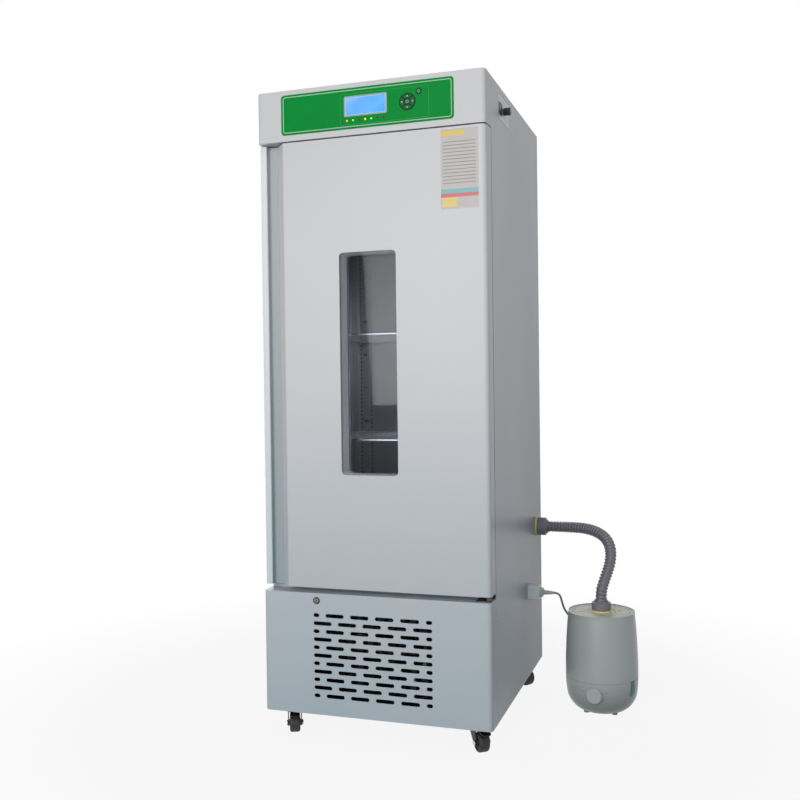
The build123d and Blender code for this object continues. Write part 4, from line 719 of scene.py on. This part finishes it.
lamp_colours = screen.node("ValToRGB", {"stops": [
    (0.0, (1.0, 0.30, 0.06)), (1 / 7, (0.16, 0.85, 0.05)), (2 / 7, (0.05, 0.012, 0.01)),
    (3 / 7, (1.0, 0.62, 0.05)), (4 / 7, (0.30, 0.80, 0.04)), (5 / 7, (0.05, 0.012, 0.01))]},
    {"Fac": lamp})
lamp_colours.socket.node.color_ramp.interpolation = "CONSTANT"
is_lamp = abs(up - LAMP_Z).step(0.0033, 0.0030) * (depth < -0.3489)
board = mixed(drift(screen, 300.0, 3.0), (0.005, 0.06, 0.02), (0.01, 0.12, 0.04))
look = mixed(is_display, mixed(is_lamp, board, lamp_colours), glow)
screen.feed("Base Color", mixed(is_display, look, (0.02, 0.05, 0.12)))
dark = mixed(is_lamp, (0, 0, 0), lamp_colours)
screen.feed("Emission Color", mixed(is_display, dark, glow))
dress(screen, "display_board")


# Side controls
# A rocker switch and the knob of the temperature limiter in glossy black plastic, on a plain
# printed label with a grey outline.

LABEL_Y = (-0.212, -0.070)
LABEL_Z = (1.618, 1.692)
FILM = 0.0004
black_gloss = moulded("black_switch_plastic", (0.012, 0.012, 0.013), 0.3, 1100.0, 0.00002)
dress(black_gloss, "side_controls", "rocker", "limiter_knob")
label_film = Finish("side_label_film", {"Roughness": 0.32})
place = label_film.node("TexCoord", {}, {}, "Object")
back = label_film.node("SeparateXYZ", {}, {"Vector": place}, "Y")
up = label_film.node("SeparateXYZ", {}, {"Vector": place}, "Z")
middle_y = sum(LABEL_Y) / 2
middle_z = sum(LABEL_Z) / 2
label_shape = (middle_y, middle_z, LABEL_Y[1] - LABEL_Y[0], LABEL_Z[1] - LABEL_Z[0])
outline = keyline(box_edge(back, up, label_shape, 0.003, 0.003), 0.0024)
ticks = keyline(disc_edge(back, up, -0.144, 1.652, 0.0145), 0.0012)
base = mixed(drift(label_film, 12.0, 3.0), (0.55, 0.57, 0.59), (0.61, 0.63, 0.65))
label_film.feed("Base Color", mixed(outline.larger(ticks), base, (0.03, 0.03, 0.035)))


def stuck_film(place, size):
    """A thin film of a given size with softened edges."""
    bpy.ops.object.select_all(action="DESELECT")
    bpy.ops.mesh.primitive_cube_add(size=1, location=place)
    piece = bpy.context.object
    piece.scale = size
    bpy.ops.object.transform_apply(location=True, rotation=True, scale=True)
    return rounded_off(piece, 0.00008, 1)


label = stuck_film((0.3101, middle_y, middle_z), (FILM, label_shape[2], label_shape[3]))
settle(label, "switch_label", label_film, "cabinet")


# Record card on the door
# A blank laminated card for the user's own notes: pale ruled sheet with an ochre heading band
# and a teal footing band, stuck to the upper right of the door.

CARD_X = (0.193, 0.291)
CARD_Z = (1.367, 1.566)
card_film = Finish("laminated_card", {"Roughness": 0.3})
across, up = front_axes(card_film)
card_x = sum(CARD_X) / 2
card_z = sum(CARD_Z) / 2
sheet_tone = mixed(drift(card_film, 25.0, 4.0), (0.37, 0.345, 0.325), (0.44, 0.41, 0.385))
ruled = (up - CARD_Z[0]) / 0.0085
ruled = abs(ruled - ruled.maths("FLOOR", ruled) - 0.5)
within = abs(across - card_x).step(0.0425, 0.042)
body_part = (up > 1.425) * (up < 1.538)
lines = ruled.step(0.16, 0.08) * within * body_part
sheet_tone = mixed(lines * 0.85, sheet_tone, (0.07, 0.065, 0.06))
heading = box_edge(across, up, (0.2245, 1.5545, 0.060, 0.0125), 0.0, 0.003).step(0.0002, -0.0002)
sheet_tone = mixed(heading, sheet_tone, (0.62, 0.42, 0.01))
footing = (up > 1.4055) * (up < 1.4165)
sheet_tone = mixed(footing, sheet_tone, (0.08, 0.34, 0.38))
second = (up > 1.3715) * (up < 1.3960) * abs(across - card_x).step(0.0445, 0.044)
sheet_tone = mixed(second * (across < 0.236), sheet_tone, (0.62, 0.48, 0.06))
crimson = (up > 1.3960) * (up < 1.4055)
sheet_tone = mixed(crimson, sheet_tone, (0.50, 0.03, 0.04))
rim = box_edge(across, up, (card_x, card_z, 0.098, 0.199), 0.0, 0.002).step(-0.0016, -0.0010)
card_film.feed("Base Color", mixed(rim * 0.5, sheet_tone, (0.62, 0.63, 0.62)))
grain(card_film, drift(card_film, 60.0, 2.0), 0.0001)
card = stuck_film((card_x, -0.35015, card_z), (0.098, FILM, 0.199))
settle(card, "record_card", card_film, "door")


# Side socket
# A pale surface box, screwed to the wall, that feeds the humidifier.

box_plastic = moulded("pale_socket_plastic", (0.72, 0.80, 0.82), 0.42)
dress(box_plastic, "outlet_box")


# Panel screws
# Small pan-head screws down the right side seam hold the base panel to the cabinet.

screw_zinc = moulded("dull_zinc_screw", (0.30, 0.31, 0.33), 0.35, 1500.0, 0.00003,
                     {"Metallic": 1.0})
SCREW_Y = -0.295
SCREW_RADIUS = 0.0042
for number, z in enumerate((0.335, 0.102)):
    bpy.ops.object.select_all(action="DESELECT")
    bpy.ops.mesh.primitive_uv_sphere_add(segments=24, ring_count=12,
                                         radius=SCREW_RADIUS, location=(0.310, SCREW_Y, z))
    head = bpy.context.object
    head.scale = (0.36, 1, 1)
    bpy.ops.object.transform_apply(location=True, rotation=True, scale=True)
    bpy.ops.object.shade_smooth()
    settle(head, f"seam_screw_{number + 1}", screw_zinc, "cabinet")
    bpy.ops.object.select_all(action="DESELECT")
    bpy.ops.mesh.primitive_cube_add(size=1, location=(0.3113, SCREW_Y, z))
    slot_bar = bpy.context.object
    slot_bar.scale = (0.0010, 0.0056, 0.0009)
    bpy.ops.object.transform_apply(location=True, rotation=True, scale=True)
    rounded_off(slot_bar, 0.0001, 1)
    settle(slot_bar, f"seam_screw_slot_{number + 1}", black_gloss, "cabinet")


# Back of the cabinet
# A rubber grommet lines the hole where a mains lead enters.

bpy.ops.object.select_all(action="DESELECT")
bpy.ops.mesh.primitive_torus_add(major_radius=0.0108, minor_radius=0.0022, major_segments=40,
                                 minor_segments=12, location=(-0.2488, 0.3477, 0.130),
                                 rotation=(radians(90), 0, 0))
bpy.ops.object.shade_smooth()
grommet_rubber = moulded("black_grommet_rubber", (0.02, 0.02, 0.02), 0.6)
settle(bpy.context.object, "cable_grommet", grommet_rubber, "cabinet")


# Casters
# Black pressed forks with rubber wheels on bright axle nuts; the front pair has toe pedals.

fork_black = moulded("black_fork_enamel", (0.009, 0.009, 0.010), 0.38, 300.0, 0.00006,
                     {"Specular IOR Level": 0.3})
dress(fork_black, "caster_fork_front_left", "caster_fork_front_right",
      "caster_fork_rear_left", "caster_fork_rear_right", "caster_plates",
      "brake_pedal_front_left", "brake_pedal_front_right")
tread = moulded("worn_black_tread", (0.022, 0.021, 0.020), 0.6, 420.0, 0.00015)
scuffed = drift(tread, 38.0, 5.0)
tread.feed("Base Color", mixed(scuffed.step(0.45, 0.75), (0.010, 0.010, 0.010),
                               (0.045, 0.042, 0.038)))
dress(tread, "caster_wheel_front_left", "caster_wheel_front_right",
      "caster_wheel_rear_left", "caster_wheel_rear_right")
bright = Finish("bright_axle_nut", {"Metallic": 1.0})
bright.feed("Base Color", mixed(drift(bright, 300.0, 3.0), (0.45, 0.46, 0.47), (0.72, 0.73, 0.74)))
bright.feed("Roughness", drift(bright, 500.0, 2.0) * 0.18 + 0.18)
CASTER_X = 0.256
CASTER_Y = 0.282
CASTER_TRAIL = 0.022
WHEEL_RADIUS = 0.025
AXLE_END = 0.0206
casters = {"front_left": (-CASTER_X, -CASTER_Y, 25), "front_right": (CASTER_X, -CASTER_Y, 38),
           "rear_left": (-CASTER_X, CASTER_Y, 20), "rear_right": (CASTER_X, CASTER_Y, 55)}
for place_name, (x, y, heading) in casters.items():
    turn = radians(heading)
    wheel = Vector((x + CASTER_TRAIL * sin(turn), y - CASTER_TRAIL * cos(turn), WHEEL_RADIUS))
    axle = Vector((cos(turn), sin(turn), 0))
    for end in (-1, 1):
        bpy.ops.object.select_all(action="DESELECT")
        bpy.ops.mesh.primitive_cylinder_add(
            vertices=6, radius=0.0068, depth=0.0042, location=wheel + axle * (AXLE_END * end),
            rotation=(0, radians(90), turn))
        nut = rounded_off(bpy.context.object, 0.0006)
        settle(nut, f"axle_nut_{place_name}_{'outer' if end > 0 else 'inner'}", bright,
               f"caster_fork_{place_name}")


# Humidifier
# A satin moulded tank on a rounded base with rubber feet, darkening into painted shade over its
# lowest 12 cm. The lid is a paler moulding with a fine stipple, and a teal strip low on the right
# shows the water.

TANK = Vector((0.523, 0.114, 0))
tank_plastic = moulded("satin_tank_plastic", (0.40, 0.435, 0.425), 0.36, 1500.0, 0.00002,
                       {"Coat Weight": 0.15, "Coat Roughness": 0.2})
dress(tank_plastic, "humidifier_tank", "humidifier_base")
tank_low = tank_plastic.node("SeparateXYZ", {}, {
    "Vector": tank_plastic.node("TexCoord", {}, {}, "Object")}, "Z")
tank_tone = mixed(drift(tank_plastic, 9.0, 4.0), (0.38, 0.415, 0.405), (0.42, 0.455, 0.445))
# Painted shade: the tank and base darken towards the floor over their lowest 12 cm.
tank_tone = mixed(tank_low.step(0.0, 0.12), (0.17, 0.215, 0.21), tank_tone)
across, up = front_axes(tank_plastic)
dots = disc_edge(abs(across - 0.5145), up, 0.0315, 0.0745, 0.0016).step(0.0003, -0.0003)
tank_plastic.feed("Base Color", mixed(dots * 0.7, tank_tone, (0.06, 0.065, 0.07)))
lid_plastic = moulded("stippled_lid_plastic", (0.56, 0.56, 0.48), 0.55, 330.0, 0.0005)
dress(lid_plastic, "humidifier_lid")
dial_plastic = moulded("pale_dial_plastic", (0.43, 0.47, 0.46), 0.35)
dress(dial_plastic, "humidifier_knob")
strip_plastic = moulded("teal_strip_plastic", (0.012, 0.16, 0.18), 0.25)
bpy.ops.object.select_all(action="DESELECT")
bpy.ops.mesh.primitive_plane_add(size=1)
strip = bpy.context.object
start = radians(-22)
profile = [(0.0985, 0.056), (0.1012, 0.066), (0.1016, 0.080), (0.1020, 0.100)]
strip.data.clear_geometry()
strip.data.from_pydata([(TANK.x + r * cos(start), TANK.y + r * sin(start), z) for r, z in profile],
                       [(0, 1), (1, 2), (2, 3)], [])
bpy.ops.object.mode_set(mode="EDIT")
bpy.ops.mesh.select_all(action="SELECT")
bpy.ops.mesh.spin(steps=10, angle=radians(10), center=TANK, axis=(0, 0, 1))
bpy.ops.mesh.select_all(action="SELECT")
bpy.ops.mesh.normals_make_consistent(inside=False)
bpy.ops.object.mode_set(mode="OBJECT")
wall = strip.modifiers.new("wall", "SOLIDIFY")
wall.thickness = 0.0012
wall.offset = 0
bpy.ops.object.modifier_apply(modifier=wall.name)
rounded_off(strip, 0.0004)
settle(strip, "water_strip", strip_plastic, "cabinet")
